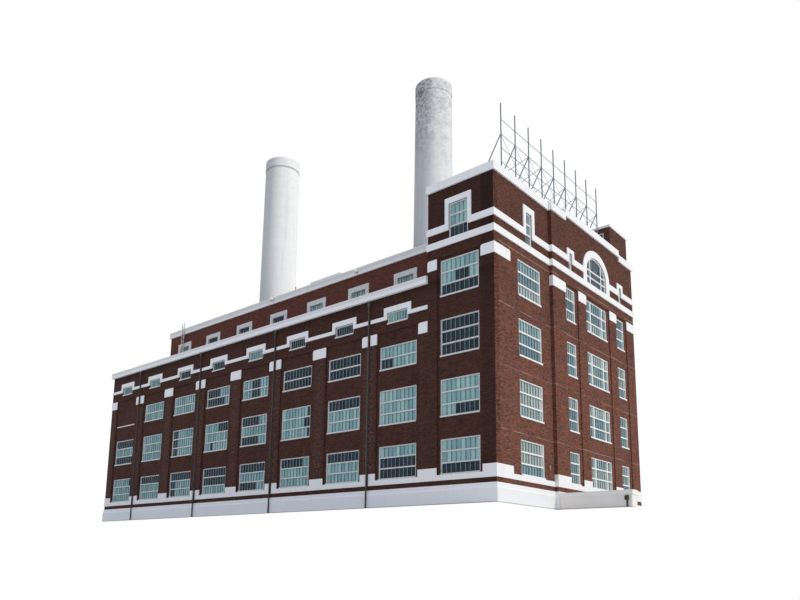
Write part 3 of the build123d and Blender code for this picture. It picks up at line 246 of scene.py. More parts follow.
# Where a shade on the wall sets in and is full, and where it wanes and ends again.
CORNER_END = (CORNER.x - 0.012, CORNER.x - 0.004)
CORNER_PIER = (CORNER.x - 0.62, CORNER.x - 0.52)
WASH_ENDS = (CORNER.x - 3.4, CORNER.x - 3.2)
WASHED_HEIGHTS, BEHIND_PIERS = (0.7, 1.6, 6.4, 7.0), (0.01, 0.03)
BESIDE_PIPE, NEXT_PIER = (0.1, 0.42), (2.58, 2.9)
ABOVE_PALE_COURSE, ABOVE_ALL_COURSES = (0.026, 0.034), (9.85, 9.9)
EAVES_SHADE_BAND, SMOKED_WALL, SMOKED_TOP = (8.15, 8.7, 8.72, 8.9), (5.0, 8.6), (9.7, 10.5)
SUNNY_DARK, SUNNY_LIGHT, SOOT = ink("43211a"), ink("845040"), ink("1b1210")


def bond(along, height):
    """The bricks as laid: a chance number for each, and 1 where a mortar joint runs."""
    values = {
        "Vector": along.node("CombineXYZ", None, {"X": along, "Y": height}),
        "Color1": (0.0, 0.0, 0.0, 1.0),
        "Color2": WHITE,
        "Mortar": (0.5, 0.5, 0.5, 1.0),
        "Scale": 1.0,
        "Mortar Size": JOINT,
        "Mortar Smooth": 0.3,
        "Brick Width": BRICK_LENGTH,
        "Row Height": COURSE,
    }
    each = along.node("TexBrick", None, values, out="Color")
    joint = along.node("TexBrick", None, values, out="Fac")
    return each.node("SeparateColor", None, {0: each}), joint


def beside_pipes(x):
    """1 beside a rainwater pipe, and 0.6 on the pier half way to the next one."""
    lap = (x - (CORNER.x - FIRST_PIPE)) / PIPE_PITCH + 0.5
    from_pipe = abs(lap.fraction() - 0.5) * PIPE_PITCH
    return 1.0 - from_pipe.rise(*BESIDE_PIPE) + from_pipe.rise(*NEXT_PIER) * 0.6


def coat(place, values):
    """Ends a finish in one coat with these values."""
    shader = place.node("BsdfPrincipled", None, values)
    place.node("OutputMaterial", None, {"Surface": shader})


def brickwork(name, dark, light, mortar, soot, wash, smoke, courses):
    """Bricks between two burnt colours. The last four are how much there is of soot and of the
    painted shade under the eaves, of pale wash, of smoke high on the wall, and of the end face's pale
    courses."""
    finish, place = new_finish(name)
    x, y, z = place.parts()
    each, joint = bond(x + y, z)
    patch = place.noise(0.9, 4.0, rough=0.6)
    grain = place.noise(55.0, 3.0)
    tint = (each * 0.6 + patch * 0.4 + grain * 0.15).rise(0.2, 0.95)
    corner = x.rise(*CORNER_END) * (1.0 - courses)
    colour = corner.between(tint.between(dark, light), tint.between(SUNNY_DARK, SUNNY_LIGHT))
    kiln = place.noise(0.9, 5.0, (1.0, 1.0, 1.5), 0.75)
    colour = (kiln.rise(0.5, 0.68) * 0.28 * courses).between(colour, ink("94432a"))
    colour = ((1.0 - kiln.rise(0.32, 0.5)) * 0.4 * courses).between(colour, ink("684246"))
    colour = (joint * 0.8).between(colour, mortar)

    streak = place.noise(3.0, 3.0, (1.6, 1.6, 0.14))
    # Rain streaks and dirty patches darken the brick, and the band just under the eaves is painted shade
    # under the cornice.
    grime = streak.rise(0.5, 0.8) * 0.5 + patch.rise(0.45, 0.75) * 0.6 + z.band(*EAVES_SHADE_BAND) * 0.7
    grime = grime * soot * (1.0 - corner * 0.65)
    colour = (grime.rise(0.0, 1.0) * 0.6).between(colour, SOOT)
    smoked = (z.rise(*SMOKED_WALL) * 0.17 + z.rise(*SMOKED_TOP) * 0.21) * smoke
    smoked = smoked + x.rise(*CORNER_PIER) * wash * 0.35 * (1.0 - corner)
    colour = smoked.between(colour, SOOT)

    above_head = ((z - HEAD_COURSE) / STOREY_PITCH).fraction() * STOREY_PITCH
    pale_course = (1.0 - above_head.rise(*ABOVE_PALE_COURSE)) * (1.0 - z.rise(*ABOVE_ALL_COURSES))
    colour = (pale_course * courses * patch.rise(0.35, 0.6) * 0.75).between(colour, ink("a58f84"))

    pier_face = 1.0 - (y - CORNER.y).rise(*BEHIND_PIERS)
    speckle = place.noise(16.0, 4.0, (1.0, 1.0, 0.7), 0.8).rise(0.48, 0.66)
    washed = pier_face * speckle * z.band(*WASHED_HEIGHTS) * beside_pipes(x) * wash
    washed = washed * (1.0 - x.rise(*WASH_ENDS))
    colour = washed.between(colour, ink("83726b"))
    relief = ((1.0 - joint) * 0.8 + grain * 0.35).relief(0.7, 0.004)
    coat(place, {"Base Color": colour, "Roughness": grain * 0.2 + 0.75, "Normal": relief,
                 "Specular IOR Level": 0.12})
    return finish


def dress(finish, *names):
    """Gives CAD pieces their finish."""
    for name in names:
        for spot in nodes[name].material_slots:
            spot.material = finish


# The long sides' brick is darker than the end block's: partly soot, and partly painted shade that deepens
# the shade on the long side.
soot_and_shade_brick = brickwork("soot_and_shade_brick", ink("38211b"), ink("59342b"), ink("4c3f39"),
                        soot=0.8, wash=0.85, smoke=1.0, courses=0.0)
sunny_brick = brickwork("sunny_brick", SUNNY_DARK, SUNNY_LIGHT, ink("79645a"),
                        soot=0.3, wash=0.0, smoke=1.0, courses=1.0)
hall_brick = brickwork("hall_brick", ink("4e2a25"), ink("774239"), ink("5f4a44"),
                       soot=0.5, wash=0.0, smoke=0.0, courses=0.0)
dress(hall_brick, "hall_south_wall")
dress(soot_and_shade_brick, "wing_south_wall", "tower_south_wall", "wing_west_wall",
      "hall_west_wall", "wing_north_wall", "hall_north_wall")
dress(sunny_brick, "tower_east_corner_wall", "tower_east_centre_wall", "tower_north_wall",
      "tower_west_wall", "roof_houses", "flue_houses")


# The white trim. Bands, belts, caps, copings, cornices and the base courses of painted
# cast stone, in lengths with fine joints, with dirt and rain streaks, painted shade on the fascia
# under each cornice's edge and on the base's face, a painted highlight along the base's splay and a painted
# shadow at the foot.
FASCIA_JOINT, BASE_JOINT, PLATFORM_JOINT, JOINT_WIDTH = 0.75, 1.5, 2.0, 0.004
WING_FASCIA, HALL_FASCIA = (8.88, 8.9, 9.01, 9.02), (12.09, 12.11, 12.285, 12.295)
ABOVE_BASE_FACE, BASE_SPLAY, ABOVE_FOOT = (0.49, 0.52), (0.5, 0.53, 0.555, 0.58), (0.01, 0.04)


def cast_stone(name, clean, dirt_and_shade, grime, length):
    """Painted stone in lengths. grime is how much dirt shows."""
    finish, place = new_finish(name)
    x, y, z = place.parts()
    joint = 1.0 - ((x + y) / length).fraction().rise(0.0, JOINT_WIDTH / length)
    cloud = place.noise(1.4, 4.0, rough=0.65)
    grain = place.noise(40.0, 3.0)
    streak = place.noise(7.0, 3.0, (1.5, 1.5, 0.1), 0.6)
    marks = (streak.rise(0.5, 0.85) * 0.7 + cloud.rise(0.5, 0.8) * 0.5) * grime
    colour = marks.between(clean, dirt_and_shade)
    colour = (joint * 0.5).between(colour, dirt_and_shade)
    # Painted shade on the fascia under the edge of each cornice.
    colour = ((z.band(*WING_FASCIA) + z.band(*HALL_FASCIA)) * 0.3).between(colour, dirt_and_shade)
    # Painted shade: the face of the base below its splay is a little greyer and bluer.
    colour = ((1.0 - z.rise(*ABOVE_BASE_FACE)) * 0.05).between(colour, ink("8f92a6"))
    # A painted highlight along the splay on top of the base.
    colour = (z.band(*BASE_SPLAY) * 0.6).between(colour, ink("fafafa"))
    # A painted shadow: a dark line where the stone meets the ground.
    colour = ((1.0 - z.rise(*ABOVE_FOOT)) * 0.6).between(colour, ink("4c4c52"))
    relief = (grain * 0.5 - joint).relief(0.35, 0.003)
    coat(place, {"Base Color": colour, "Roughness": grain * 0.2 + 0.6, "Normal": relief})
    return finish


trim = cast_stone("white_trim", ink("f1f0f2"), ink("aeacab"), 0.26, FASCIA_JOINT)
base_white = cast_stone("white_base", ink("eff0f4"), ink("b2b3b8"), 0.16, BASE_JOINT)
concrete = cast_stone("platform_concrete", ink("f4f0ec"), ink("bab5ae"), 0.3, PLATFORM_JOINT)
dress(trim, "wing_cornice", "hall_cornice", "attic_band", "sill_band", "pier_caps", "tower_belts",
      "tower_window_surrounds", "tower_coping", "arch_surround", "roof_house_caps")
dress(base_white, "wing_plinth", "tower_plinth")
dress(concrete, "loading_platform", "platform_deck", "floors")


# The roofs. Grey bitumen felt laid in strips on the flat decks behind the parapets, with
# lapped seams and dust.
STRIP_WIDTH = 0.5
roofing, place = new_finish("roofing_felt")
across_strip = (place.parts()[1] / STRIP_WIDTH).fraction()
lap = across_strip.band(0.0, 0.05, 0.95, 1.0)
dust = place.noise(2.0, 5.0, rough=0.65)
grit = place.noise(90.0, 2.0)
colour = (dust * 0.7 + grit * 0.3).rise(0.25, 0.8).between(ink("4d4c4a"), ink("817d77"))
colour = (lap * 0.7 + 0.3).between(ink("3b3a39"), colour)
coat(place, {"Base Color": colour, "Roughness": 0.9, "Normal": (lap + grit * 0.3).relief(0.4, 0.006)})
dress(roofing, "wing_roof", "hall_roof", "tower_roof")


# The window frames. Steel frames with two strong rails, painted white and screwed into
# the brick reveals. On the long side, up to where END_FACE starts, they are greyed as painted shade.
END_FACE = (CORNER.x - 0.3, CORNER.x - 0.25)
frame_white, place = new_finish("sash_paint")
chalk = place.noise(6.0, 4.0, rough=0.7)
colour = (chalk.rise(0.45, 0.8) * 0.5).between(ink("f2f2f1"), ink("b0b2b2"))
# Painted shade: the frames on the long side are greyed.
long_side_shade = 1.0 - place.parts()[0].rise(*END_FACE)
colour = (long_side_shade * 0.35).between(colour, ink("8b9098"))
coat(place, {"Base Color": colour, "Roughness": chalk * 0.2 + 0.4})
dress(frame_white, "wing_window_frames", "tower_window_frames", "hall_window_frames",
      "arch_window_frame")


# The glazing. Thin upright bars of painted steel, and single panes puttied in one by one,
# each a little out of true, with pale blinds let down behind many of them.
# The bars' grey is partly painted shade: darker than the white frames, so they read as the shaded lines
# between the panes.
bar_paint_and_shade, place = new_finish("glazing_bar_paint_and_shade")
chalk = place.noise(9.0, 4.0, rough=0.7)
colour = chalk.rise(0.35, 0.75).between(ink("92a0a2"), ink("707e84"))
coat(place, {"Base Color": colour, "Roughness": chalk * 0.2 + 0.45})

# Cover 0 is a bare pane, painted dark as the shade of the unlit room behind it, 1 a blue-green blind behind
# the pane, 2 a pale grey one.
pane_glass, place = new_finish("window_glass")
cover = place.node("Attribute", {"attribute_name": "cover"}, out="Fac")
chance = place.node("Attribute", {"attribute_name": "chance"}, out="Fac")
ripple = place.noise(3.0, 2.0)
fold = place.noise(1.0, 2.0, (14.0, 14.0, 0.6))
# Painted shade: a bare pane shows the dark of the unlit room behind it, painted on the opaque glass.
painted_room_shade = (chance * 0.6 + ripple * 0.4).between(ink("0c1822"), ink("2a4252"))
blind = (fold * 0.5 + chance * 0.5).between(ink("6494a0"), ink("bce0da"))
grey_blind = (fold * 0.5 + chance * 0.5).between(ink("929f9f"), ink("d6deda"))
colour = cover.rise(0.0, 1.0).between(painted_room_shade, blind)
colour = cover.rise(1.0, 2.0).between(colour, grey_blind)
# A painted reflection of the sky on the end face's panes, weaker over the pale grey blinds.
painted_sky_reflection = place.parts()[0].rise(*END_FACE) * (0.5 - cover.rise(0.9, 2.0) * 0.45)
colour = painted_sky_reflection.between(colour, ink("5c7086"))
coat(place, {"Base Color": colour, "Roughness": 0.15, "Normal": ripple.relief(0.1, 0.01),
             "Specular IOR Level": 0.2})
dress(pane_glass, "wing_window_glass", "hall_window_glass", "tower_window_glass")


def box_tree():
    """Node tree that sets a box at every point, sized and turned by the point's own values."""
    tree = bpy.data.node_groups.new("boxes_at_points", "GeometryNodeTree")
    ports = tree.interface
    for name, kind in (("Points", "Geometry"), ("Finish", "Material"), ("Play", "Float"), ("Seed", "Int")):
        ports.new_socket(name, in_out="INPUT", socket_type="NodeSocket" + kind)
    ports.new_socket("Pieces", in_out="OUTPUT", socket_type="NodeSocketGeometry")

    def add(kind, settings=None, links=None, values=None):
        made = tree.nodes.new(kind)
        for name, setting in (settings or {}).items():
            setattr(made, name, setting)
        for name, value in (values or {}).items():
            made.inputs[name].default_value = value
        for name, source in (links or {}).items():
            tree.links.new(source, made.inputs[name])
        return made

    def own(name):
        named = add("GeometryNodeInputNamedAttribute", {"data_type": "FLOAT_VECTOR"}, None, {"Name": name})
        return named.outputs[0]

    given = add("NodeGroupInput").outputs
    size = own("size")
    turn = own("turn")
    lean = add("FunctionNodeRandomValue", {"data_type": "FLOAT_VECTOR"}, {"Seed": given["Seed"]},
               {0: (-1.0, -1.0, -1.0), 1: (1.0, 1.0, 1.0)}).outputs[0]
    lean = add("ShaderNodeVectorMath", {"operation": "SCALE"},
               {0: lean, "Scale": given["Play"]}).outputs[0]
    turn = add("ShaderNodeVectorMath", {"operation": "ADD"}, {0: turn, 1: lean}).outputs[0]
    turn = add("FunctionNodeEulerToRotation", None, {0: turn}).outputs[0]
    chance = add("FunctionNodeRandomValue", {"data_type": "FLOAT"}, {"Seed": given["Seed"]}).outputs[1]
    box = add("GeometryNodeMeshCube").outputs["Mesh"]
    placed = add("GeometryNodeInstanceOnPoints", None, {
        "Points": given["Points"], "Instance": box, "Rotation": turn, "Scale": size,
    }).outputs[0]
    placed = add("GeometryNodeStoreNamedAttribute", {"data_type": "FLOAT", "domain": "INSTANCE"},
                 {"Geometry": placed, "Value": chance}, {"Name": "chance"}).outputs[0]
    real = add("GeometryNodeRealizeInstances", None, {0: placed}).outputs[0]
    real = add("GeometryNodeSetMaterial", None, {0: real, "Material": given["Finish"]}).outputs[0]
    add("NodeGroupOutput", None, {0: real})
    return tree


boxes_at_points = box_tree()


def block(at, size, turn=(0.0, 0.0, 0.0), cover=0.0):
    """One box to set out: its middle, its size, its turn and its cover value."""
    return {"at": at, "size": size, "turn": turn, "cover": cover}


def set_out(name, blocks, finish, play=0.0, seed=1):
    """Sets out blocks as one mesh, each turned by chance within play."""
    mesh = bpy.data.meshes.new(name)
    mesh.from_pydata([each["at"] for each in blocks], [], [])
    for label in ("size", "turn"):
        values = mesh.attributes.new(label, "FLOAT_VECTOR", "POINT").data
        values.foreach_set("vector", [number for each in blocks for number in each[label]])
    values = mesh.attributes.new("cover", "FLOAT", "POINT").data
    values.foreach_set("value", [each["cover"] for each in blocks])
    points = bpy.data.objects.new(name + "_points", mesh)
    bpy.context.scene.collection.objects.link(points)
    setting = points.modifiers.new("boxes", "NODES")
    setting.node_group = boxes_at_points
    given = {"Finish": finish, "Play": play, "Seed": seed}
    for port in boxes_at_points.interface.items_tree:
        if port.in_out == "INPUT" and port.name in given:
            setting[port.identifier] = given[port.name]
    real = bpy.data.meshes.new_from_object(points.evaluated_get(bpy.context.evaluated_depsgraph_get()))
    bpy.data.objects.remove(points)
    made = bpy.data.objects.new(name, real)
    bpy.context.scene.collection.objects.link(made)
    return made


class Wall:
    """A wall plane of the building: along runs over it, out is away from it. Places are
    given from the brick corner."""

    def __init__(self, along_x, plane, outward):
        self.along_x = along_x
        self.plane = plane
        self.outward = outward

    def spot(self, along, out, z):
        across = self.plane + self.outward * out
        at = (along, across, z) if self.along_x else (across, along, z)
        return Vector(at) + CORNER

    def size(self, wide, deep, high):
        return (wide, deep, high) if self.along_x else (deep, wide, high)


SOUTH = Wall(True, 0.0, -1)
WING_NORTH = Wall(True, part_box("wing_north_wall")[1].y - CORNER.y, 1)
HALL_SOUTH = Wall(True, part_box("hall_south_wall")[0].y - CORNER.y, -1)
TOWER_NORTH = Wall(True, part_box("tower_north_wall")[1].y - CORNER.y, 1)
EAST_CORNER = Wall(False, 0.0, 1)
EAST_CENTRE = Wall(False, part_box("tower_east_centre_wall")[1].x - CORNER.x, 1)

PIER_OUT = 0.045
FRAME_BAR, FRAME_DEPTH, FRAME_SETBACK, RAIL = 0.045, 0.07, 0.025, 0.052
THIN_BAR, PANE, PANE_PLAY, PANE_SEED = 0.013, 0.008, radians(0.4), 7
PANE_SIDE_GAP, PANE_END_GAP = 0.004, 0.002
STOREY_1, STOREY_2, WING_STOREY_3 = (1.093, 2.443), (3.278, 4.744), (5.578, 6.587)
TOWER_STOREYS = (STOREY_1, STOREY_2, (5.628, 7.128), (8.029, 9.528))
LOW_BELT_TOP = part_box("arch_surround")[0].z

# First and last pane without a blind, counted from the left, for each row from the top.
# The wing's windows go by bay, from the end block on, and by storey.
ALL, NONE = (0, 99), None
WING_BARE_PANES = {
    (0, 3): (NONE, (0, 2)), (0, 2): (NONE, NONE, NONE), (0, 1): (NONE, ALL, ALL),
    (1, 3): (ALL, ALL), (1, 2): (ALL, NONE, NONE), (1, 1): (ALL, NONE, NONE),
    (2, 3): (ALL, ALL), (2, 2): ((8, 8), (7, 8), (8, 8)), (2, 1): ((0, 6), NONE, NONE),
    (3, 3): ((3, 5), (3, 5)), (3, 2): ((0, 5), NONE, (0, 5)), (3, 1): (ALL, NONE, (0, 5)),
    (4, 3): ((0, 4), (0, 6)), (4, 2): ((5, 8), NONE, (2, 2)), (4, 1): (ALL, ALL, NONE),
    (5, 3): (NONE, NONE), (5, 2): ((0, 1), (0, 1), (0, 1)), (5, 1): (ALL, (0, 1), (0, 1)),
    (6, 3): (NONE, NONE), (6, 2): (NONE, NONE, NONE), (6, 1): (ALL, NONE, NONE),
    (7, 2): (ALL, NONE, ALL), (7, 1): ((8, 8), NONE, NONE),
}
TOWER_BARE_PANES = ((NONE, NONE, ALL), (NONE, NONE, (3, 9)), (ALL, ALL, ALL), (NONE, (3, 5), ALL))
BARE_ATTICS, BARE_HALL_WINDOWS = (1, 2, 4, 5), (3, 4, 5)

# Cover values of the rows from the top. The end face's are given for each of its storeys.
LET_DOWN, ATTIC_COVER, HALL_COVER, END_SLIM_COVER = (1.0, 1.0, 1.0), (1.15,), (1.45,), (1.1, 0.9, 0.6)
END_COVERS = {
    "corner": ((1.9, 2.0, 0.9), (1.7, 1.9, 1.6), (1.4, 0.8, 0.5), (1.2, 0.6, 1.8)),
    "left": ((1.3, 1.0, 1.5), (1.8, 0.7, 0.9), (1.6, 0.8, 0.9), (1.6, 0.5, 1.7)),
    "centre": ((1.4, 2.0, 1.8), (1.9, 0.9, 1.1), (1.8, 1.3, 1.2), (0.8, 0.6, 1.6)),
    "right": ((1.9, 1.5, 1.0), (1.6, 1.0, 1.0), (1.9, 1.9, 1.3), (0.6, 1.7, 1.4)),
}


class Glazing:
    """The thin bars and single panes of one part of the building."""

    def __init__(self, name):
        self.name = name
        self.bars = []
        self.panes = []

    def window(self, wall, recess, heights, rows, lights, bare=None, covers=LET_DOWN):
        """One window. lights has the left and right edge and the panes of each light."""
        front = recess + FRAME_SETBACK
        low, high = heights[0] + FRAME_BAR, heights[1] - FRAME_BAR
        row_height = (high - low - (rows - 1) * RAIL) / rows
        for row in range(rows):
            middle = high - row_height / 2 - row * (row_height + RAIL)
            bare_panes = bare[row] if bare else None
            count = 0
            for left, end, pieces in lights:
                wide = (end - left) / pieces
                for k in range(pieces):
                    is_bare = bare_panes is not None and bare_panes[0] <= count <= bare_panes[1]
                    self.panes.append(block(
                        wall.spot(left + (k + 0.5) * wide, -(front + FRAME_DEPTH - PANE), middle),
                        wall.size(wide - PANE_SIDE_GAP, PANE, row_height - PANE_END_GAP),
                        cover=0.0 if is_bare else covers[row]))
                    count += 1
                    if k:
                        self.bars.append(block(
                            wall.spot(left + k * wide, -(front + FRAME_DEPTH / 2), middle),
                            wall.size(THIN_BAR, FRAME_DEPTH / 2, row_height)))

    def putty_in(self):
        bar_piece = set_out(self.name + "_glazing_bars", self.bars, bar_paint_and_shade)
        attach(bar_piece, "root")
        pane_piece = set_out(self.name + "_panes", self.panes, pane_glass, PANE_PLAY, PANE_SEED)
        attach(pane_piece, "root")


def one_light(middle, width, panes):
    """A light that fills the whole frame."""
    return [(middle - width / 2 + FRAME_BAR, middle + width / 2 - FRAME_BAR, panes)]


# The wing has eight bays. The westmost one has no third storey window.
BAY_PITCH, BAY_COUNT, END_BAY = 3.0, 8, 4.585
BAYS = [-(END_BAY + BAY_PITCH * n) for n in range(BAY_COUNT)]
WING_WIDTH, ATTIC_WIDTH, ATTIC_HEIGHTS = 1.92, 1.08, (7.485, 7.985)
wing = Glazing("wing")
for wall in (SOUTH, WING_NORTH):
    for n, x in enumerate(BAYS):
        storeys = [(1, STOREY_1, 3), (2, STOREY_2, 3)]
        if n < BAY_COUNT - 1:
            storeys.append((3, WING_STOREY_3, 2))
        for number, heights, rows in storeys:
            wing.window(wall, PIER_OUT, heights, rows, one_light(x, WING_WIDTH, 9),
                        WING_BARE_PANES[(n, number)])
        wing.window(wall, 0.0, ATTIC_HEIGHTS, 1, one_light(x, ATTIC_WIDTH, 7),
                    (ALL,) if n in BARE_ATTICS else None, ATTIC_COVER)

FIRST_HALL_WINDOW, HALL_WINDOWS, HALL_WIDTH, HALL_HEIGHTS = 6.85, 7, 1.04, (10.0, 11.15)
hall = Glazing("hall")
for wall in (HALL_SOUTH, WING_NORTH):
    for n in range(HALL_WINDOWS):
        hall.window(wall, 0.0, HALL_HEIGHTS, 1,
                    one_light(-(FIRST_HALL_WINDOW + BAY_PITCH * n), HALL_WIDTH, 6),
                    (ALL,) if n in BARE_HALL_WINDOWS else None, HALL_COVER)

# The end block: its long sides, then its end face in two planes, then the arched window.
SIDE_WINDOW, SIDE_WIDTH, TALL_SLIM_WIDTH, TALL_SLIM_TOP = -1.585, 1.77, 0.89, 11.77
CORNER_COLUMN, END_SLIM_WIDTH, END_SLIM_TOP = 2.57, 0.48, 11.7
LEFT_COLUMN, MIDDLE_COLUMN, RIGHT_COLUMN = 5.87, 8.43, 11.0
NARROW_WIDTH, BROAD_WIDTH, SIDE_LIGHT, UPRIGHT = 0.868, 2.1, 0.22, 0.06
CENTRE_SLIM_WIDTH, CENTRE_SLIM_TOP = 0.28, 11.125


def three_lights(middle, width):
    """A broad light between two narrow ones, with a strong upright on each side of it."""
    upright = width * (0.5 - SIDE_LIGHT)
    return [
        (middle - width / 2 + FRAME_BAR, middle - upright - UPRIGHT / 2, 2),
        (middle - upright + UPRIGHT / 2, middle + upright - UPRIGHT / 2, 5),
        (middle + upright + UPRIGHT / 2, middle + width / 2 - FRAME_BAR, 2),
    ]


tower = Glazing("tower")
for wall in (SOUTH, TOWER_NORTH):
    for heights, bare in zip(TOWER_STOREYS, TOWER_BARE_PANES):
        tower.window(wall, PIER_OUT, heights, 3, one_light(SIDE_WINDOW, SIDE_WIDTH, 8), bare)
    tower.window(wall, 0.0, (LOW_BELT_TOP, TALL_SLIM_TOP), 3,
                 one_light(SIDE_WINDOW, TALL_SLIM_WIDTH, 4), (NONE, NONE, ALL))
for storey, heights in enumerate(TOWER_STOREYS):
    tower.window(EAST_CORNER, 0.0, heights, 3, one_light(CORNER_COLUMN, SIDE_WIDTH, 8),
                 covers=END_COVERS["corner"][storey])
    for column, middle in (("left", LEFT_COLUMN), ("right", RIGHT_COLUMN)):
        tower.window(EAST_CENTRE, PIER_OUT, heights, 3, one_light(middle, NARROW_WIDTH, 4),
                     covers=END_COVERS[column][storey])
    tower.window(EAST_CENTRE, PIER_OUT, heights, 3, three_lights(MIDDLE_COLUMN, BROAD_WIDTH),
                 covers=END_COVERS["centre"][storey])
tower.window(EAST_CORNER, 0.0, (LOW_BELT_TOP, END_SLIM_TOP), 3,
             one_light(CORNER_COLUMN, END_SLIM_WIDTH, 2), covers=END_SLIM_COVER)
for middle in (LEFT_COLUMN, RIGHT_COLUMN):
    tower.window(EAST_CENTRE, 0.0, (LOW_BELT_TOP, CENTRE_SLIM_TOP), 2,
                 one_light(middle, CENTRE_SLIM_WIDTH, 1))

ARCH_HALF, ARCH_SPRING, ARCH_RISE, ARCH_SETBACK = 1.01, 10.925, 0.79, 0.02
ARCH_PANES, ARCH_BAR_SHORT = 12, 0.03
for k in range(1, ARCH_PANES):
    off = ARCH_HALF * (2.0 * k / ARCH_PANES - 1.0)
    crown = ARCH_SPRING + ARCH_RISE * sqrt(1.0 - (off / ARCH_HALF) ** 2) - ARCH_BAR_SHORT
    tower.bars.append(block(
        EAST_CENTRE.spot(MIDDLE_COLUMN + off, -(ARCH_SETBACK + FRAME_DEPTH / 2), (crown + LOW_BELT_TOP) / 2),
        EAST_CENTRE.size(THIN_BAR, FRAME_DEPTH / 2, crown - LOW_BELT_TOP)))

for glazing in (wing, hall, tower):
    glazing.putty_in()

# On the back, the two rails of each frame are lapped onto its upright sides.
RAIL_LAP, RAIL_DEPTH = 0.005, FRAME_DEPTH * 0.8


def two_rails(wall, middle, width, heights):
    low, high = heights[0] + FRAME_BAR, heights[1] - FRAME_BAR
    levels = [low + (high - low) * share / 3 for share in (1, 2)]
    size = wall.size(width - 2 * (FRAME_BAR - RAIL_LAP), RAIL_DEPTH, RAIL)
    return [block(wall.spot(middle, -(PIER_OUT + FRAME_SETBACK + FRAME_DEPTH / 2), level), size)
            for level in levels]


back_rails = []
for x in BAYS:
    for heights in (STOREY_1, STOREY_2):
        back_rails += two_rails(WING_NORTH, x, WING_WIDTH, heights)
for heights in TOWER_STOREYS:
    back_rails += two_rails(TOWER_NORTH, SIDE_WINDOW, SIDE_WIDTH, heights)
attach(set_out("back_window_rails", back_rails, frame_white), "root")


# The stacks. Slip-formed concrete, painted white, with the lines of its lifts, rain
# streaks, soot at the crown of the slimmer one, and painted shade on the side turned from the lamp.
LIFT_HEIGHT, LIFT_LINE = 0.75, 0.025
HAZE, CROWN_SOOT, RING = (10.0, 2.0), (6.0, 0.5), (0.78, 0.72, 0.66, 0.6)
SHADE_EAST, SHADE_NORTH = 0.75, 0.66


def below(crown, drops):
    """The heights that lie so far below the crown."""
    return [crown - drop for drop in drops]


def slipformed(name, piece, crown_soot, low, high):
    """Painted concrete of one stack. crown_soot is how black its crown is."""
    finish, place = new_finish(name)
    near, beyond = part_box(piece)
    crown = beyond.z
    x, y, z = place.parts()
    lift = z / LIFT_HEIGHT
    line = 1.0 - lift.fraction().rise(0.0, LIFT_LINE)
    course = lift.whole()
    each = course.node("TexWhiteNoise", {"noise_dimensions": "1D"}, {"W": course})
    streak = place.noise(2.4, 4.0, (1.0, 1.0, 0.06), 0.6)
    mottle = place.noise(1.6, 5.0, rough=0.7)
    fine = place.noise(4.5, 5.0, (1.0, 1.0, 1.3), 0.8)
    grain = place.noise(30.0, 3.0)
    colour = (each * 0.25 + mottle * 0.35 + 0.3).between(low, high)
    colour = (streak.rise(0.5, 0.8) * 0.3).between(colour, ink("b5b6ba"))
    colour = (line * 0.2).between(colour, ink("9a9ba0"))

    # Painted shade: the west and south side of each stack, turned from the lamp, is greyed, and its crown
    # soot is heavier there.
    east = (x - (near.x + beyond.x) / 2) * SHADE_EAST
    north = (y - (near.y + beyond.y) / 2) * SHADE_NORTH
    shade_side = 1.0 - ((east + north) / (beyond.x - near.x)).rise(-0.46, 0.1)
    colour = (shade_side * 0.6).between(colour, ink("8d9099"))
    haze = z.rise(*below(crown, HAZE)) * mottle.rise(0.4, 0.65) * crown_soot
    colour = (haze * 0.35).between(colour, ink("8f8c8c"))
    soot = z.rise(*below(crown, CROWN_SOOT)) * fine.rise(0.42, 0.62) * (shade_side * 0.7 + 0.3)
    colour = (soot * crown_soot).between(colour, ink("4a4846"))
    ring = z.band(*below(crown, RING))
    colour = (ring * (0.5 - crown_soot * 0.3)).between(colour, ink("5d5b59"))
    relief = (grain * 0.4 + mottle * 0.3 - line).relief(0.5, 0.01)
    coat(place, {"Base Color": colour, "Roughness": 0.85, "Normal": relief})
    return finish


dress(slipformed("west_stack_concrete", "west_stack", 0.2, ink("f0f0f1"), ink("fdfdfd")), "west_stack")
dress(slipformed("east_stack_concrete", "east_stack", 0.95, ink("e0e0e3"), ink("f7f7f7")), "east_stack")
for name in ("west_stack", "east_stack"):
    mesh = nodes[name].data
    upright = [abs(face.normal.z) < 0.3 for face in mesh.polygons]
    mesh.polygons.foreach_set("use_smooth", upright)


# The roof sign's lattice. Thin galvanised angle posts, flat rails and long crossed
# braces, bolted together through gusset plates where they meet.
grey_steel, place = new_finish("galvanised_steel")
spangle = place.noise(18.0, 3.0)
colour = spangle.rise(0.3, 0.75).between(ink("7b8796"), ink("a3adb9"))
coat(place, {"Base Color": colour, "Roughness": spangle * 0.2 + 0.45, "Metallic": 0.3})
dress(grey_steel, "sign_frame", "sign_stays")

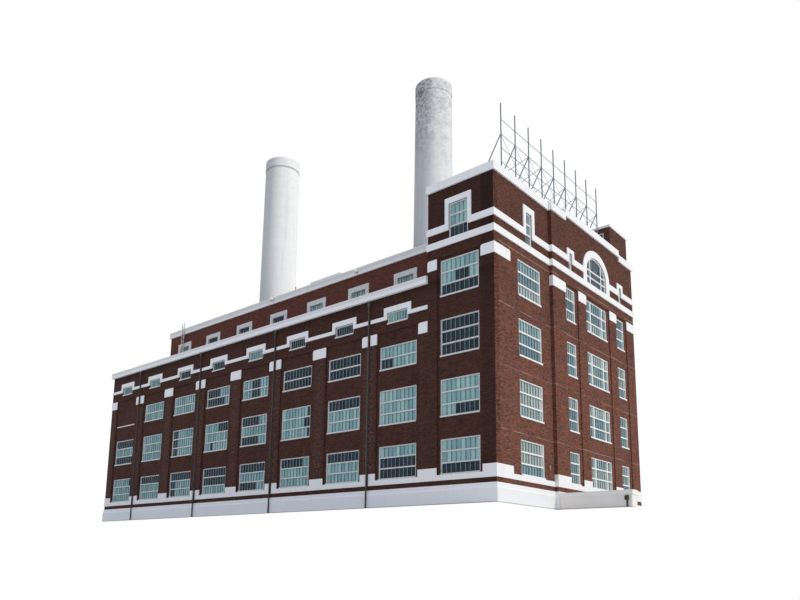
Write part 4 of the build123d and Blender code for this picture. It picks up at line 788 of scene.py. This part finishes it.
POSTS, POST_PITCH, ANGLE, SKIN = 9, 1.09, 0.04, 0.008
RAIL_HEIGHTS, FLAT_RAIL, FLAT_BRACE, GUSSET = (0.8, 1.4, 2.0, 2.6, 3.25), 0.034, 0.03, (0.09, 0.07)
RAIL_BEHIND, BRACE_BEHIND, BRACE_APART, GUSSET_AHEAD = 0.01, 0.014, 0.006, 0.014
BRACE_BAYS, BRACE_RAILS = 2, 3
frame_low, frame_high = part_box("sign_frame")
line_x = (frame_low.x + frame_high.x) / 2
middle_z = (frame_low.z + frame_high.z) / 2
tall = frame_high.z - frame_low.z
levels = [frame_low.z + height for height in RAIL_HEIGHTS]
posts = [frame_low.y + ANGLE / 2 + n * POST_PITCH for n in range(POSTS)]
lattice = []
for y in posts:
    lattice.append(block(Vector((line_x + (ANGLE - SKIN) / 2, y, middle_z)), (SKIN, ANGLE, tall)))
    lattice.append(block(Vector((line_x, y - (ANGLE - SKIN) / 2, middle_z)), (ANGLE, SKIN, tall)))
    for level in levels:
        lattice.append(block(Vector((line_x + GUSSET_AHEAD, y, level)), (SKIN, *GUSSET)))
for level in levels:
    lattice.append(block(Vector((line_x - RAIL_BEHIND, (posts[0] + posts[-1]) / 2, level)),
                         (SKIN, posts[-1] - posts[0], FLAT_RAIL)))
run, rise = BRACE_BAYS * POST_PITCH, levels[BRACE_RAILS] - levels[0]
for y in posts[:-BRACE_BAYS]:
    for behind, climb in ((BRACE_BEHIND, rise), (BRACE_BEHIND + BRACE_APART, -rise)):
        lattice.append(block(Vector((line_x - behind, y + run / 2, levels[0] + rise / 2)),
                             (SKIN / 2, hypot(run, rise), FLAT_BRACE), (atan2(climb, run), 0.0, 0.0)))
lattice_piece = set_out("sign_lattice", lattice, grey_steel)
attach(lattice_piece, "root")
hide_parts("sign_frame")


# The hall's ladder. Steel rails and rungs in flaking pale paint. It stands on the wing's
# roof, close to the cornice near the hall's west end.
ladder_paint, place = new_finish("ladder_paint")
flake = place.noise(14.0, 4.0, rough=0.7)
colour = flake.rise(0.4, 0.7).between(ink("dcd6cc"), ink("a59a90"))
coat(place, {"Base Color": colour, "Roughness": flake * 0.2 + 0.5})
dress(ladder_paint, "hall_ladder")


# The rainwater pipes. Cast iron in dark paint, with small hopper heads under the cornice,
# clipped to the piers. The pipe nearest to the end block is the most worn one.
LAST_PIPE_FROM, LAST_PIPE_TO = (CORNER.x - 8.0, CORNER.x - 7.0), (CORNER.x - 2.0, CORNER.x - 1.0)
dark_pipe, place = new_finish("pipe_paint")
flake = place.noise(9.0, 4.0, (1.0, 1.0, 0.25), 0.7)
colour = flake.rise(0.45, 0.75).between(ink("24231f"), ink("463d34"))
x = place.parts()[0]
worn = x.rise(*LAST_PIPE_FROM) - x.rise(*LAST_PIPE_TO)
colour = (worn * 0.25).between(colour, ink("6a6350"))
coat(place, {"Base Color": colour, "Roughness": 0.55})
dress(dark_pipe, "downpipes")


# The small fittings. Round opal lamps on short steel arms at the hall's cornice, an oval
# lamp on the end wall, and a steel rod on the hall roof. The arms are screwed on.
opal, place = new_finish("opal_glass")
haze = place.noise(12.0, 3.0)
coat(place, {"Base Color": haze.between(ink("e6e7e4"), ink("f8f8f5")), "Roughness": 0.25})
bronze, place = new_finish("bronze_lamp")
haze = place.noise(20.0, 3.0)
coat(place, {"Base Color": haze.between(ink("8a5c4c"), ink("b98a78")), "Roughness": 0.5})

CORNICE_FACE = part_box("hall_cornice")[0].y - CORNER.y
ROOF_LAMPS, ROOF_LAMP_OUT, ROOF_LAMP_RADII = ((-9.905, 12.1), (-16.304, 12.17)), 0.16, (0.1, 0.1, 0.1)
ARM_FROM_LAMP, ARM_SIZE = Vector((0.0, 0.12, -0.02)), (0.03, 0.2, 0.03)
WALL_LAMP, WALL_LAMP_RADII = Vector((0.03, 3.806, 1.59)), (0.04, 0.05, 0.12)
ROD, ROD_SIZE = Vector((-14.69, CORNICE_FACE + 0.2, 12.4)), (0.03, 0.03, 0.4)


def globe(name, centre, radii, finish):
    """A round or oval lamp glass."""
    shape = bmesh.new()
    bmesh.ops.create_uvsphere(shape, u_segments=16, v_segments=10, radius=1.0)
    for point in shape.verts:
        point.co = centre + Vector([c * r for c, r in zip(point.co, radii)])
    for face in shape.faces:
        face.smooth = True
    mesh = bpy.data.meshes.new(name)
    shape.to_mesh(mesh)
    shape.free()
    mesh.materials.append(finish)
    made = bpy.data.objects.new(name, mesh)
    bpy.context.scene.collection.objects.link(made)
    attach(made, "root")


arms = [block(CORNER + ROD, ROD_SIZE)]
for number, (x, z) in enumerate(ROOF_LAMPS, 1):
    at = CORNER + Vector((x, CORNICE_FACE - ROOF_LAMP_OUT, z))
    globe("roof_lamp_%d" % number, at, ROOF_LAMP_RADII, opal)
    arms.append(block(at + ARM_FROM_LAMP, ARM_SIZE))
globe("wall_lamp", CORNER + WALL_LAMP, WALL_LAMP_RADII, bronze)
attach(set_out("lamp_arms", arms, dark_pipe), "root")
